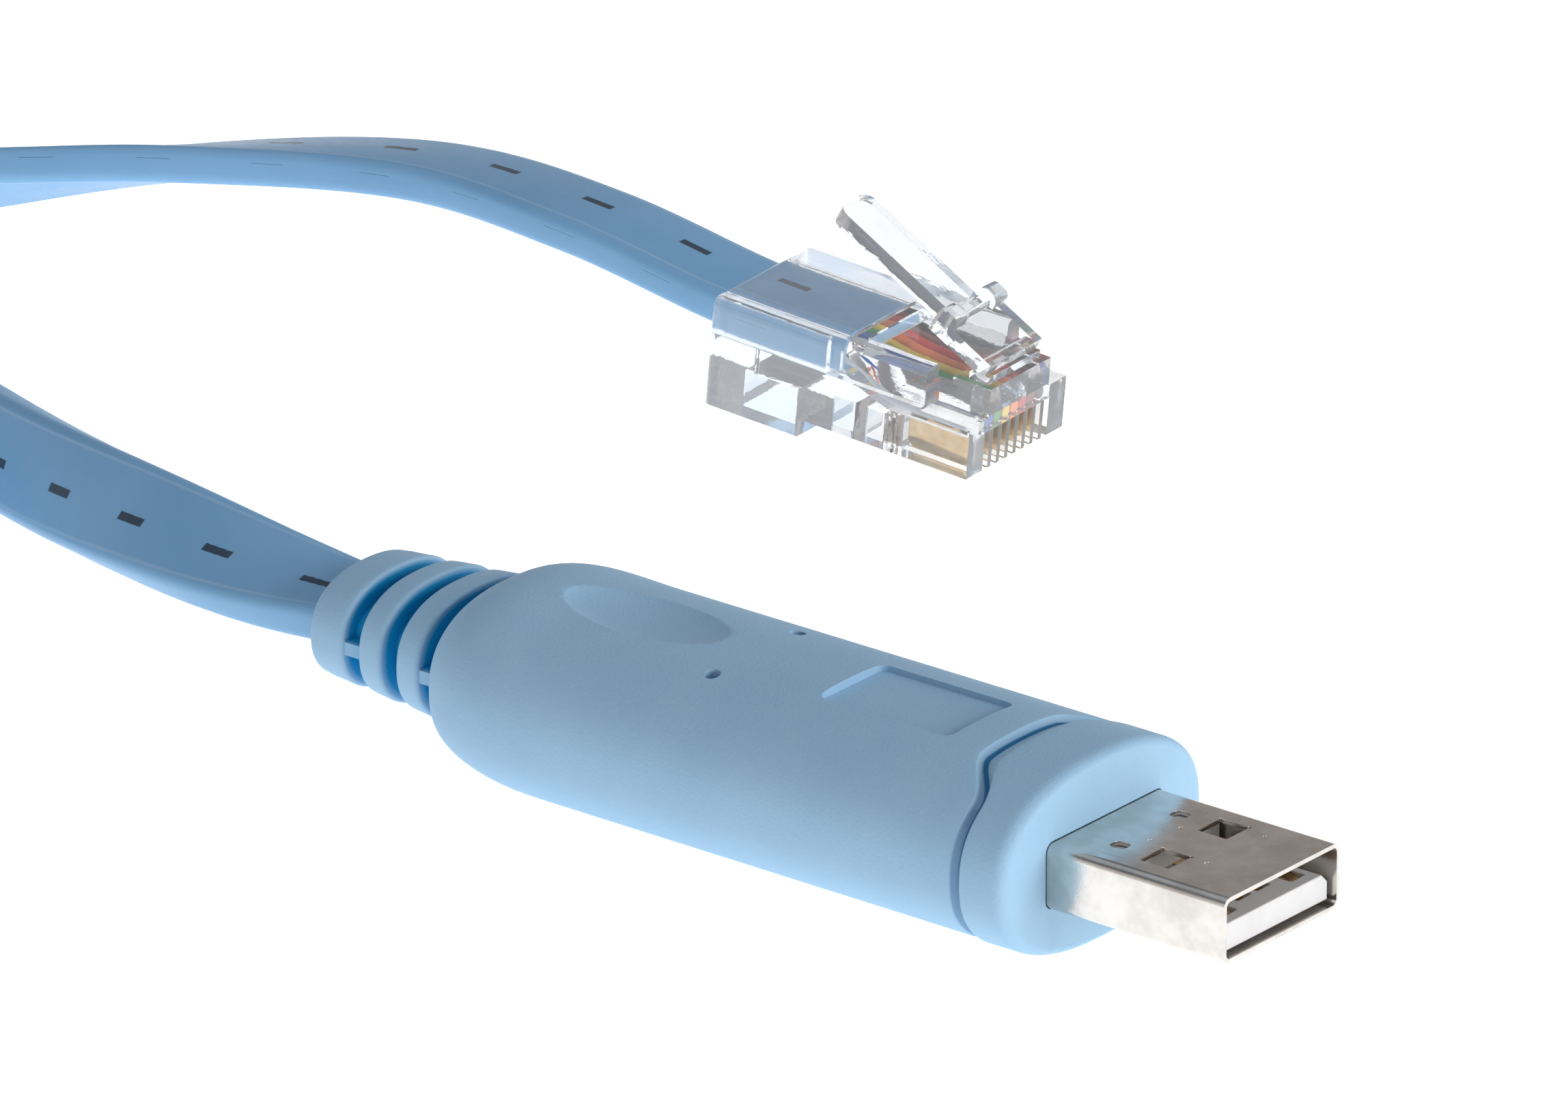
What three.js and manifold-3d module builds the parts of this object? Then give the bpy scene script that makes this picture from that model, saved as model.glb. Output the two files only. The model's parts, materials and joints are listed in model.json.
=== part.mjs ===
// Console cable: a flat cable with a clear eight-way modular plug on one end
// and a moulded USB-A adaptor on the other. Millimetres, +Z up.
// +X is the way the USB plug goes in. The floor is z = 0.
import * as THREE from 'three';
import Module from 'manifold-3d';
import { mergeVertices } from 'three/addons/utils/BufferGeometryUtils.js';

const wasm = await Module();
wasm.setup();

// Driving dimensions
const clearance = 0.3;

const shell = { width: 12.0, height: 4.5, wall: 0.3, corner: 0.65, stickOut: 14.0, seat: 2.7 };
const window = { x: 7.1, y: 3.0, long: 2.3, wide: 2.4 };
const smallHole = { x: 3.6, y: 3.1, long: 1.2, wide: 1.1 };
const tongue = { height: 1.85, back: 0.5, chamfer: 0.6 };
const pad = { wide: 1.0, thick: 0.15, long: 7.4, setBack: 1.2, innerSetBack: 2.2 };
const padPlaces = [-3.5, -1.0, 1.0, 3.5];

const body = { long: 49.2, width: 20.6, height: 12.6, square: 2.35, shoulder: 9.0 };
const collar = { proud: 0.15, edge: 1.0 };
const groove = { x: 5.2, wave: 1.25, wide: 0.9, deep: 0.6, fade: 3.6 };
const relief = { long: 11.6, endWidth: 11.4, endHeight: 7.6, rootWidth: 13.6, rootHeight: 9.1, rise: 0.5 };
const ribCut = { count: 3, wide: 1.4, pitch: 3.4, first: 0.2, wall: 1.0, bridge: 0.9 };
const panel = { x: 15.1, long: 10.7, wide: 6.8, deep: 0.45, corner: 1.0 };
const thumb = { x: 37.7, long: 12.5, wide: 6.5, deep: 0.45 };
const lamp = { x: 28.2, y: 4.35, bore: 1.1, deep: 1.2 };

const cable = { width: 7.4, thick: 2.6, edge: 0.8 };

const plug = { width: 11.68, long: 21.46, height: 8.0, step: 1.3, stepAt: 7.8, edge: 0.3 };
const nose = { from: 17.4, cheek: 2.2, shelf: 5.1, top: 7.2 };
const rail = { from: 9.6, inset: 0.5, shelf: 5.3 };
const recess = { from: 11.6, wide: 7.8, floor: 6.9 };
const plugPlace = { x: -53.15, y: 59.9, yaw: 4.2 };
const entry = { z: 5.9, jacketEnd: 10.0 };
const wire = { bore: 0.92, pitch: 1.02, z: 4.4, kneeAt: 14.2, end: 20.4 };
const blade = { thick: 0.32, slot: 0.62, from: 15.8, long: 4.9, low: 1.55, high: 3.6 };
const pockets = [
  { from: 2.2, long: 4.4, wide: 6.4, top: 2.6 },
  { from: 9.8, long: 1.8, wide: 8.2, top: 3.4 },
  { from: 12.5, long: 1.5, wide: 8.2, top: 3.4 },
];
const latch = { root: 20.4, long: 15.6, thick: 1.1, baseWide: 6.2, baseLong: 5.2, armWide: 3.5, rise: 26 };
const hook = { from: 3.6, long: 1.5, wide: 1.5, high: 0.9 };

const coil = { x: -123.35, y: -20, outer: 48, pitch: 2.9, rj45Joins: 121, usbJoins: 69, rj45Turn: 1219 };

// Where the parts of the USB end sit along X
const usbLong = shell.stickOut + body.long + relief.long;
const rootX = usbLong / 2 - shell.stickOut;
const tailX = -usbLong / 2;
const axisZ = (body.width / 2 + collar.proud) * (body.height / body.width);

// Small builders
const bare = (geometry) => {
  geometry.deleteAttribute('normal');
  geometry.deleteAttribute('uv');
  return mergeVertices(geometry, 1e-4);
};

const toSolid = (geometry) => {
  const merged = bare(geometry);
  return new wasm.Manifold(new wasm.Mesh({
    numProp: 3,
    vertProperties: new Float32Array(merged.attributes.position.array),
    triVerts: new Uint32Array(merged.index.array),
  }));
};

const cutAway = (solid, cuts) => cuts.reduce((left, cut) => left.subtract(toSolid(cut)), solid);

const toGeometry = (solid) => {
  const mesh = solid.getMesh();
  const geometry = new THREE.BufferGeometry();
  geometry.setAttribute('position', new THREE.BufferAttribute(mesh.vertProperties, 3));
  geometry.setIndex(new THREE.BufferAttribute(mesh.triVerts, 1));
  return geometry;
};

const roundedRect = (wide, high, radius, across = 0, up = 0) => {
  const x = across - wide / 2;
  const y = up - high / 2;
  const shape = new THREE.Shape();
  shape.moveTo(x + radius, y);
  shape.lineTo(x + wide - radius, y);
  shape.absarc(x + wide - radius, y + radius, radius, -Math.PI / 2, 0);
  shape.lineTo(x + wide, y + high - radius);
  shape.absarc(x + wide - radius, y + high - radius, radius, 0, Math.PI / 2);
  shape.lineTo(x + radius, y + high);
  shape.absarc(x + radius, y + high - radius, radius, Math.PI / 2, Math.PI);
  shape.lineTo(x, y + radius);
  shape.absarc(x + radius, y + radius, radius, Math.PI, Math.PI * 1.5);
  shape.closePath();
  return shape;
};

const outline = (points) => new THREE.Shape(points.map(([x, y]) => new THREE.Vector2(x, y)));

const extrude = (shape, depth) => new THREE.ExtrudeGeometry(shape, {
  depth,
  bevelEnabled: false,
  curveSegments: 4,
});

// A shape drawn in the Y-Z plane, extruded toward +X from x
const alongX = (shape, x, long) => {
  const basis = new THREE.Matrix4().makeBasis(
    new THREE.Vector3(0, 1, 0),
    new THREE.Vector3(0, 0, 1),
    new THREE.Vector3(1, 0, 0),
  );
  return extrude(shape, long).applyMatrix4(basis).translate(x, 0, 0);
};

// A shape drawn in the X-Z plane, extruded evenly to both sides of y
const acrossY = (shape, wide, y = 0) => {
  const basis = new THREE.Matrix4().makeBasis(
    new THREE.Vector3(1, 0, 0),
    new THREE.Vector3(0, 0, 1),
    new THREE.Vector3(0, -1, 0),
  );
  return extrude(shape, wide).applyMatrix4(basis).translate(0, y + wide / 2, 0);
};

const box = (x0, x1, y0, y1, z0, z1) => new THREE.BoxGeometry(x1 - x0, y1 - y0, z1 - z0)
  .translate((x0 + x1) / 2, (y0 + y1) / 2, (z0 + z1) / 2);

const finish = (color, roughness, metalness = 0, opacity = 1) => new THREE.MeshStandardMaterial({
  color,
  roughness,
  metalness,
  opacity,
  transparent: opacity < 1,
});

const part = (name, geometry, material) => {
  const mesh = new THREE.Mesh(geometry, material);
  mesh.name = name;
  return mesh;
};

const smooth = (from, to, value) => THREE.MathUtils.smoothstep(value, from, to);

// Materials
const blueMoulding = finish(0x86b4d6, 0.62);
const cableJacket = finish(0x6a9fcb, 0.55);
const clearPlastic = finish(0xdfe8ee, 0.12, 0, 0.35);
const steel = finish(0xb9b7b2, 0.28, 1);
const whitePlastic = finish(0xe9e6df, 0.5);
const gold = finish(0xd8a548, 0.25, 1);

// The blue moulding: one oval body, turned as a profile and then flattened
const ovalRadius = (angle) => (
  (Math.abs(Math.cos(angle)) ** body.square + Math.abs(Math.sin(angle)) ** body.square)
  ** (-1 / body.square)
);

function mouldingProfile() {
  const half = body.width / 2;
  const front = half + collar.proud;
  const edge = collar.edge;
  const points = [[0, 0], [front - edge, 0]];
  for (const turn of [30, 60, 90]) {
    const angle = THREE.MathUtils.degToRad(turn);
    points.push([front - edge + edge * Math.sin(angle), edge - edge * Math.cos(angle)]);
  }
  points.push([front, groove.x - groove.wide / 2]);
  points.push([half - groove.deep, groove.x - groove.wide / 4]);
  points.push([half - groove.deep, groove.x + groove.wide / 4]);
  points.push([half, groove.x + groove.wide / 2]);
  points.push([half, groove.x + groove.fade]);
  points.push([half, body.long - body.shoulder]);
  const root = relief.rootWidth / 2;
  for (const turn of [18, 36, 54, 72, 90]) {
    const angle = THREE.MathUtils.degToRad(turn);
    points.push([
      root + (half - root) * Math.cos(angle),
      body.long - body.shoulder * (1 - Math.sin(angle)),
    ]);
  }
  points.push([relief.endWidth / 2, body.long + relief.long - 0.5]);
  points.push([relief.endWidth / 2 - 0.5, body.long + relief.long]);
  points.push([0, body.long + relief.long]);
  return points.reverse().map(([radius, back]) => new THREE.Vector2(radius, -back));
}

// The section is an oval: its height follows its width, from body to relief, where it sits higher
function flatten(geometry) {
  const place = geometry.attributes.position;
  const start = body.height / body.width;
  const end = relief.endHeight / relief.endWidth;
  for (let i = 0; i < place.count; i += 1) {
    const back = -place.getX(i);
    const y = place.getY(i);
    const z = place.getZ(i);
    const angle = Math.atan2(z, y);
    const swell = ovalRadius(angle);
    const share = start + (end - start) * smooth(body.long - body.shoulder, body.long, back);
    const wave = groove.wave * (1 - 2 * smooth(0.35, 0.75, Math.abs(Math.cos(angle))));
    const near = smooth(collar.edge, groove.x - groove.wide / 2, back)
      * (1 - smooth(groove.x + groove.wide / 2, groove.x + groove.fade, back));
    const lift = relief.rise * smooth(body.long - body.shoulder, body.long, back);
    place.setXYZ(i, -(back + wave * near), y * swell, z * swell * share + lift);
  }
  return geometry;
}

// Each groove runs round the cable's sleeve. The outer two keep a bridge at each side
function ribGroove(k) {
  const back = body.long + ribCut.first + k * ribCut.pitch;
  const around = roundedRect(2 * relief.rootWidth, 2 * relief.rootHeight, 1, 0, relief.rise);
  const sleeveHigh = cable.thick + 2 * ribCut.wall;
  const sleeveWide = cable.width + 2 * ribCut.wall;
  around.holes.push(roundedRect(sleeveWide, sleeveHigh, sleeveHigh / 2 - 0.1, 0, relief.rise));
  const ring = alongX(around, -back - ribCut.wide, ribCut.wide);
  if (k === 1) {
    return ring;
  }
  const wide = 3 * relief.rootWidth;
  const low = relief.rise - ribCut.bridge / 2;
  const high = relief.rise + ribCut.bridge / 2;
  const bridge = box(-back - 2 * ribCut.wide, -back + ribCut.wide, -wide, wide, low, high);
  return toGeometry(toSolid(ring).subtract(toSolid(bridge)));
}

function overmould() {
  const turned = new THREE.LatheGeometry(mouldingProfile(), 48);
  // Lathe turns about Y: lay its axis along X
  turned.applyMatrix4(new THREE.Matrix4().makeBasis(
    new THREE.Vector3(0, 1, 0),
    new THREE.Vector3(1, 0, 0),
    new THREE.Vector3(0, 0, -1),
  ));
  const solid = toSolid(flatten(bare(turned)));
  const top = body.height / 2;
  const seat = alongX(
    roundedRect(shell.width + 2 * clearance, shell.height + 2 * clearance, shell.corner + clearance),
    -(shell.seat + clearance),
    shell.seat + clearance + 1,
  );
  const mark = extrude(roundedRect(panel.long, panel.wide, panel.corner), 2)
    .translate(-panel.x, 0, top - panel.deep);
  // A dimple: an ellipsoid that meets the top in the thumb outline
  const bulge = 2.2;
  const reach = Math.sqrt(1 - (1 - thumb.deep / bulge) ** 2);
  const dimple = new THREE.SphereGeometry(1, 32, 16)
    .scale(thumb.long / 2 / reach, thumb.wide / 2 / reach, bulge)
    .translate(-thumb.x, 0, top - thumb.deep + bulge);
  const cuts = [seat, mark, dimple];
  for (const side of [-1, 1]) {
    cuts.push(new THREE.CylinderGeometry(lamp.bore / 2, lamp.bore / 2, 2 * lamp.deep, 16)
      .rotateX(Math.PI / 2)
      .translate(-lamp.x, side * lamp.y, top - 0.3));
  }
  for (let k = 0; k < ribCut.count; k += 1) {
    cuts.push(ribGroove(k));
  }
  return toGeometry(cutAway(solid, cuts));
}

function usbShell() {
  const outer = roundedRect(shell.width, shell.height, shell.corner);
  const inner = roundedRect(
    shell.width - 2 * shell.wall,
    shell.height - 2 * shell.wall,
    shell.corner - shell.wall,
  );
  const long = shell.stickOut + shell.seat;
  const cuts = [alongX(inner, -shell.seat - 1, long + 2)];
  for (const hole of [window, smallHole]) {
    for (const side of [-1, 1]) {
      cuts.push(box(
        hole.x - hole.long / 2,
        hole.x + hole.long / 2,
        side * hole.y - hole.wide / 2,
        side * hole.y + hole.wide / 2,
        0,
        shell.height,
      ));
    }
  }
  return toGeometry(cutAway(toSolid(alongX(outer, -shell.seat, long)), cuts));
}

const tongueTop = -shell.height / 2 + shell.wall + clearance + tongue.height;
const tongueFront = shell.stickOut - tongue.back;

function usbTongue() {
  const half = shell.width / 2 - shell.wall - clearance;
  const low = tongueTop - tongue.height;
  const chamfer = tongue.chamfer;
  const block = outline([
    [-half, low],
    [half, low],
    [half, tongueTop - chamfer],
    [half - chamfer, tongueTop],
    [-half, tongueTop],
  ]);
  return alongX(block, -shell.seat, shell.seat + tongueFront);
}

function usbContact(y) {
  const inner = Math.abs(y) < padPlaces[3];
  const front = tongueFront - (inner ? pad.innerSetBack : pad.setBack);
  return box(front - pad.long, front, y - pad.wide / 2, y + pad.wide / 2, tongueTop, tongueTop + pad.thick);
}

// The clear plug, drawn with its rear bottom edge at the origin
function plugHousing() {
  const side = outline([
    [0, 0],
    [plug.stepAt, 0],
    [plug.stepAt + 0.4, plug.step],
    [plug.long, plug.step],
    [plug.long, nose.top - plug.edge],
    [plug.long - plug.edge, nose.top],
    [nose.from, nose.top],
    [nose.from, plug.height],
    [plug.edge, plug.height],
    [0, plug.height - plug.edge],
  ]);
  const solid = toSolid(acrossY(side, plug.width));
  const wide = cable.width + 2 * clearance;
  const high = cable.thick + 2 * clearance;
  const jacketRoom = box(-1, entry.jacketEnd + clearance, -wide / 2, wide / 2, entry.z - high / 2, entry.z + high / 2);
  const wireHalf = wire.bore / 2 + clearance;
  const wireRoom = outline([
    [entry.jacketEnd, entry.z - wireHalf],
    [wire.kneeAt, wire.z - wireHalf],
    [wire.end + clearance, wire.z - wireHalf],
    [wire.end + clearance, wire.z + wireHalf],
    [wire.kneeAt, wire.z + wireHalf],
    [entry.jacketEnd, entry.z + wireHalf + 0.2],
  ]);
  const wireWide = 7 * wire.pitch + wire.bore + 2 * clearance;
  const half = plug.width / 2;
  const over = plug.height + 1;
  const latchRoom = recess.wide / 2;
  const cuts = [
    jacketRoom,
    acrossY(wireRoom, wireWide),
    box(recess.from, nose.from + 1, -latchRoom, latchRoom, recess.floor, over),
  ];
  for (const side of [-1, 1]) {
    const cheek = side * (half - nose.cheek / 2 + 0.5);
    const cheekHalf = nose.cheek / 2 + 0.5;
    cuts.push(box(nose.from, plug.long + 1, cheek - cheekHalf, cheek + cheekHalf, nose.shelf, over));
    const inset = side * (half - rail.inset / 2 + 0.5);
    const insetHalf = rail.inset / 2 + 0.5;
    cuts.push(box(rail.from, nose.from + 1, inset - insetHalf, inset + insetHalf, rail.shelf, over));
  }
  for (const { from, long, wide, top } of pockets) {
    cuts.push(box(from, from + long, -wide / 2, wide / 2, -1, top));
  }
  for (const y of wirePlaces) {
    cuts.push(box(
      blade.from - clearance,
      plug.long + 1,
      y - blade.slot / 2,
      y + blade.slot / 2,
      0,
      wire.z,
    ));
  }
  return toGeometry(cutAway(solid, cuts));
}

const wirePlaces = Array.from({ length: 8 }, (_, k) => (k - 3.5) * wire.pitch);

function conductor(y) {
  const spread = 0.9;
  const path = new THREE.CatmullRomCurve3([
    new THREE.Vector3(entry.jacketEnd + clearance, y * spread, entry.z),
    new THREE.Vector3(entry.jacketEnd + 1.2, y * spread, entry.z - 0.3),
    new THREE.Vector3(wire.kneeAt - 0.6, y, wire.z + 0.25),
    new THREE.Vector3(wire.kneeAt + 1, y, wire.z),
    new THREE.Vector3(wire.end, y, wire.z),
  ]);
  const ring = new THREE.Shape().absarc(0, 0, wire.bore / 2, 0, Math.PI * 2);
  return new THREE.ExtrudeGeometry(ring, { steps: 12, extrudePath: path, curveSegments: 4 });
}

function contactBlade(y) {
  return box(
    blade.from,
    blade.from + blade.long,
    y - blade.thick / 2,
    y + blade.thick / 2,
    blade.low,
    blade.high,
  );
}

function plugLatch() {
  const base = latch.baseWide / 2;
  const arm = latch.armWide / 2;
  const shape = new THREE.Shape();
  shape.moveTo(0, -base);
  shape.lineTo(0, base);
  shape.lineTo(-latch.baseLong, base);
  shape.lineTo(-latch.baseLong - 0.5, arm);
  shape.lineTo(-latch.long + arm, arm);
  shape.absarc(-latch.long + arm, 0, arm, Math.PI / 2, Math.PI * 1.5);
  shape.lineTo(-latch.baseLong - 0.5, -arm);
  shape.lineTo(-latch.baseLong, -base);
  shape.closePath();
  let solid = toSolid(extrude(shape, latch.thick));
  for (const side of [-1, 1]) {
    const y = side * (base - hook.wide / 2);
    solid = solid.add(toSolid(box(
      -hook.from - hook.long,
      -hook.from,
      y - hook.wide / 2,
      y + hook.wide / 2,
      latch.thick / 2,
      latch.thick + hook.high,
    )));
  }
  return toGeometry(solid)
    .rotateY(THREE.MathUtils.degToRad(latch.rise))
    .translate(latch.root, 0, nose.top + clearance);
}

// The plug lies on its rear step and its nose
const pitch = Math.atan2(plug.step, plug.long - plug.stepAt);
const plugFrame = new THREE.Matrix4().compose(
  new THREE.Vector3(plugPlace.x, plugPlace.y, plug.stepAt * Math.sin(pitch)),
  new THREE.Quaternion().setFromEuler(
    new THREE.Euler(0, pitch, THREE.MathUtils.degToRad(plugPlace.yaw), 'ZYX'),
  ),
  new THREE.Vector3(1, 1, 1),
);
const inPlug = (x, y, z) => new THREE.Vector3(x, y, z).applyMatrix4(plugFrame);

// The flat cable: a path, and how far its width is turned up about that path
class FlatPath extends THREE.Curve {
  constructor(path, bank) {
    super();
    this.path = path;
    this.bank = bank;
  }

  getPoint(t, target = new THREE.Vector3()) {
    return this.path.getPointAt(t, target);
  }

  getPointAt(t, target = new THREE.Vector3()) {
    return this.path.getPointAt(t, target);
  }

  computeFrenetFrames(steps) {
    const frames = { tangents: [], normals: [], binormals: [] };
    for (let i = 0; i <= steps; i += 1) {
      const t = i / steps;
      const tangent = this.path.getTangentAt(t);
      const level = new THREE.Vector3(0, 0, 1).cross(tangent).normalize();
      const wide = level.applyAxisAngle(tangent, THREE.MathUtils.degToRad(this.bank(t)));
      frames.tangents.push(tangent);
      frames.normals.push(wide);
      frames.binormals.push(tangent.clone().cross(wide));
    }
    return frames;
  }
}

const cableSection = () => {
  const x = cable.width / 2;
  const y = cable.thick / 2;
  const cut = cable.edge;
  return outline([
    [-x + cut, -y],
    [x - cut, -y],
    [x, -y + cut],
    [x, y - cut],
    [x - cut, y],
    [-x + cut, y],
    [-x, y - cut],
    [-x, -y + cut],
  ]);
};

const flatCable = (path, bank, steps) => new THREE.ExtrudeGeometry(cableSection(), {
  steps,
  extrudePath: new FlatPath(path, bank),
});

const route = (points) => new THREE.CatmullRomCurve3(points, false, 'centripetal');
const at = (x, y, z) => new THREE.Vector3(x, y, z);

// On edge in the coil, the cable stands this high
const edgeZ = cable.width / 2;
const ringOuter = coil.outer + cable.thick / 2;
const coilInner = coil.outer - coil.pitch * coil.rj45Turn / 180;
const ringInner = coilInner - cable.thick / 2;

const onCoil = (radius, degrees) => {
  const angle = THREE.MathUtils.degToRad(degrees);
  return at(coil.x + radius * Math.cos(angle), coil.y + radius * Math.sin(angle), edgeZ);
};

// A lead stops this far short of its tangent point, clear of the coil's solid
const leadEnd = (radius, degrees) => {
  const reach = ringOuter + clearance + cable.thick / 2;
  const back = Math.sqrt(reach ** 2 - radius ** 2);
  const angle = THREE.MathUtils.degToRad(degrees);
  return onCoil(radius, degrees).add(at(back * Math.sin(angle), -back * Math.cos(angle), 0));
};

const usbRadius = coil.outer - coil.pitch + coil.pitch * (coil.rj45Joins - coil.usbJoins) / 180;

const usbLead = route([
  at(tailX - clearance, 0, axisZ + relief.rise),
  at(-45.8, 0.3, 7.1),
  at(-56.6, 2.0, 7.1),
  at(-72.4, 7.2, 6.0),
  leadEnd(usbRadius, coil.usbJoins),
]);

const rj45Lead = route([
  inPlug(entry.jacketEnd, 0, entry.z),
  inPlug(0, 0, entry.z),
  at(-67, 60.0, 8.6),
  at(-82, 60.3, 8.6),
  at(-99.5, 54.2, 6.8),
  at(-116.5, 42.6, 4.6),
  leadEnd(coil.outer, coil.rj45Joins),
]);

// Flat at the plug, on edge at the coil
const usbBank = (t) => -90 * (1 - (1 - t) ** 2.1);
const rj45Bank = (t) => 90 * smooth(0.1, 1, t) ** 1.7;

function coilRing() {
  return new THREE.LatheGeometry([
    new THREE.Vector2(ringInner, 0),
    new THREE.Vector2(ringOuter, 0),
    new THREE.Vector2(ringOuter, cable.width),
    new THREE.Vector2(ringInner, cable.width),
    new THREE.Vector2(ringInner, 0),
  ], 64).rotateX(Math.PI / 2).translate(coil.x, coil.y, 0);
}

// The middle of the coil is an S of two half turns, joining the two strands
function coreRoute() {
  const bend = coilInner / 2;
  const begin = coil.rj45Joins + coil.rj45Turn - 180;
  const skip = 2 * THREE.MathUtils.radToDeg(
    Math.acos((ringInner - clearance - cable.thick / 2) / coilInner),
  );
  const points = [];
  const steps = 12;
  for (let half = 0; half < 2; half += 1) {
    const centre = onCoil(bend, begin + 180 * half);
    for (let k = half; k <= steps; k += 1) {
      const turned = half === 0
        ? begin + skip + (180 - skip) * k / steps
        : begin - (180 - skip) * k / steps;
      const angle = THREE.MathUtils.degToRad(turned);
      points.push(centre.clone().add(at(bend * Math.cos(angle), bend * Math.sin(angle), 0)));
    }
  }
  return route(points);
}

// The USB end, drawn with its shell's root at the origin of its own group
const usbEnd = new THREE.Group();
usbEnd.position.set(rootX, 0, axisZ);
usbEnd.add(
  part('usb_overmould', overmould(), blueMoulding),
  part('usb_shell', usbShell(), steel),
  part('usb_tongue', usbTongue(), whitePlastic),
);
padPlaces.forEach((y, k) => usbEnd.add(part(`usb_contact_${k + 1}`, usbContact(y), gold)));

const wireColours = [0x9aa0a6, 0x2f5fb5, 0x2f8f5b, 0xe6d23a, 0xe0812f, 0xb8322c, 0x6a4630, 0x26262a];
const rj45End = new THREE.Group();
rj45End.applyMatrix4(plugFrame);
rj45End.add(
  part('rj45_housing', plugHousing(), clearPlastic),
  part('rj45_latch', plugLatch(), clearPlastic),
);
wirePlaces.forEach((y, k) => {
  rj45End.add(
    part(`rj45_contact_${k + 1}`, contactBlade(y), gold),
    part(`conductor_${k + 1}`, conductor(y), finish(wireColours[k], 0.5)),
  );
});

const cableParts = new THREE.Group();
cableParts.add(
  part('cable_usb_side', flatCable(usbLead, usbBank, 14), cableJacket),
  part('cable_rj45_side', flatCable(rj45Lead, rj45Bank, 24), cableJacket),
  part('cable_coil', coilRing(), cableJacket),
  part('cable_core', flatCable(coreRoute(), () => -90, 22), cableJacket),
);

const model = new THREE.Group();
model.add(usbEnd, rj45End, cableParts);

export default model;
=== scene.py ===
# %% [markdown]
# # A flat console cable in Blender
# The object is a light-blue flat cable. One end carries a clear modular plug, the other a moulded
# USB adaptor. The CAD model fixes every size and place, and this script gives each piece its real
# form and finish. All values are metres in the CAD model's own frame: +X is the way the USB plug
# goes in, +Z is up and the floor is z = 0.

# %% Load the fixed frame
import json
import math

import bmesh
import bpy
from mathutils import Matrix, Vector

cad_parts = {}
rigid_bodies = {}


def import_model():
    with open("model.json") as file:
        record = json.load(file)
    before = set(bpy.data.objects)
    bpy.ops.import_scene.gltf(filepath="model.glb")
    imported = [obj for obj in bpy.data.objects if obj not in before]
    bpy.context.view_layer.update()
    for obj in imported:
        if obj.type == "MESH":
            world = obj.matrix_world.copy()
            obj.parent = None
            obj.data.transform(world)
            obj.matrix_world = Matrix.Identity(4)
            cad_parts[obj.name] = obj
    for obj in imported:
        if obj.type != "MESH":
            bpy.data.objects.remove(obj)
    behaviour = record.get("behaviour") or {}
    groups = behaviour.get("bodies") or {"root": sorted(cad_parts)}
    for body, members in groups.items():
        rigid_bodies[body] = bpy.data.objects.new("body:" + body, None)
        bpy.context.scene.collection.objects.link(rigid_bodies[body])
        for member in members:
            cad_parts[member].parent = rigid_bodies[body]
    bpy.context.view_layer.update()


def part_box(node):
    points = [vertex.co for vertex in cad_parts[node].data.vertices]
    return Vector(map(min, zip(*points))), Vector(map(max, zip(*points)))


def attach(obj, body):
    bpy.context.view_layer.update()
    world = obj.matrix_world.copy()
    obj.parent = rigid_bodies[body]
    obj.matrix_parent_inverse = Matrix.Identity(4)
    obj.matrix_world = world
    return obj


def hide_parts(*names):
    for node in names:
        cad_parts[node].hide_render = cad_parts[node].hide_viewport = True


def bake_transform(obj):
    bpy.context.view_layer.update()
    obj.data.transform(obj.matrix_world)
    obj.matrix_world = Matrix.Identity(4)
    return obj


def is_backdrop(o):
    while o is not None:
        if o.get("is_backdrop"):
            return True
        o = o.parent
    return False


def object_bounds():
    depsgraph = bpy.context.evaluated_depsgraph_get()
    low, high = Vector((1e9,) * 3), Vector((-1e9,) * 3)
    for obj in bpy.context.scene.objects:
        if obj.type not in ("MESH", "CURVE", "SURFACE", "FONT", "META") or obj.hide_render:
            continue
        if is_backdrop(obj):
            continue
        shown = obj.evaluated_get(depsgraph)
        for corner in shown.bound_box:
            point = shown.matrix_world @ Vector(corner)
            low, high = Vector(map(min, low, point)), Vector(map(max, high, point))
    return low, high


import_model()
MM = 0.001

# %% [markdown]
# ## Helpers for modelling by operator
# An operator works on whatever is selected, so each helper first clears the selection and then
# picks its own piece. Faces and edges are picked in code, by where their middle lies.


# %% Selecting and applying
def only(piece):
    """Makes one piece the only selected and active object."""
    bpy.ops.object.select_all(action="DESELECT")
    piece.select_set(True)
    bpy.context.view_layer.objects.active = piece
    return piece


def apply_modifier(piece, kind, **settings):
    """Adds a modifier with these settings and applies it."""
    only(piece)
    modifier = piece.modifiers.new(kind.title(), kind)
    for name, value in settings.items():
        setattr(modifier, name, value)
    bpy.ops.object.modifier_apply(modifier=modifier.name)
    return piece


def soften(piece, width, segments=3, angle=30):
    """Rounds every edge that is sharper than the angle."""
    return apply_modifier(
        piece, "BEVEL", width=width, segments=segments, limit_method="ANGLE",
        angle_limit=math.radians(angle), harden_normals=False,
    )


def carve(piece, cutter, how="DIFFERENCE"):
    """Cuts a cutter out of a piece, or joins it on, and clears the cutter away."""
    apply_modifier(piece, "BOOLEAN", object=cutter, operation=how, solver="EXACT")
    bpy.data.objects.remove(cutter)
    return piece


def settle(piece):
    """Puts a piece's place into its mesh, so that the object sits at the origin."""
    only(piece)
    bpy.ops.object.transform_apply(location=True, rotation=True, scale=True)
    return piece


def smooth_shade(piece, angle=38):
    """Smooths the shading across soft edges and keeps the sharp ones."""
    only(piece)
    bpy.ops.object.shade_smooth_by_angle(angle=math.radians(angle))
    return piece


def even_normals(piece, angle=38):
    """Smooth shading in which the large flat faces stay flat up to their rounded edges."""
    smooth_shade(piece, angle)
    return apply_modifier(piece, "WEIGHTED_NORMAL", weight=50, keep_sharp=True)


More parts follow.
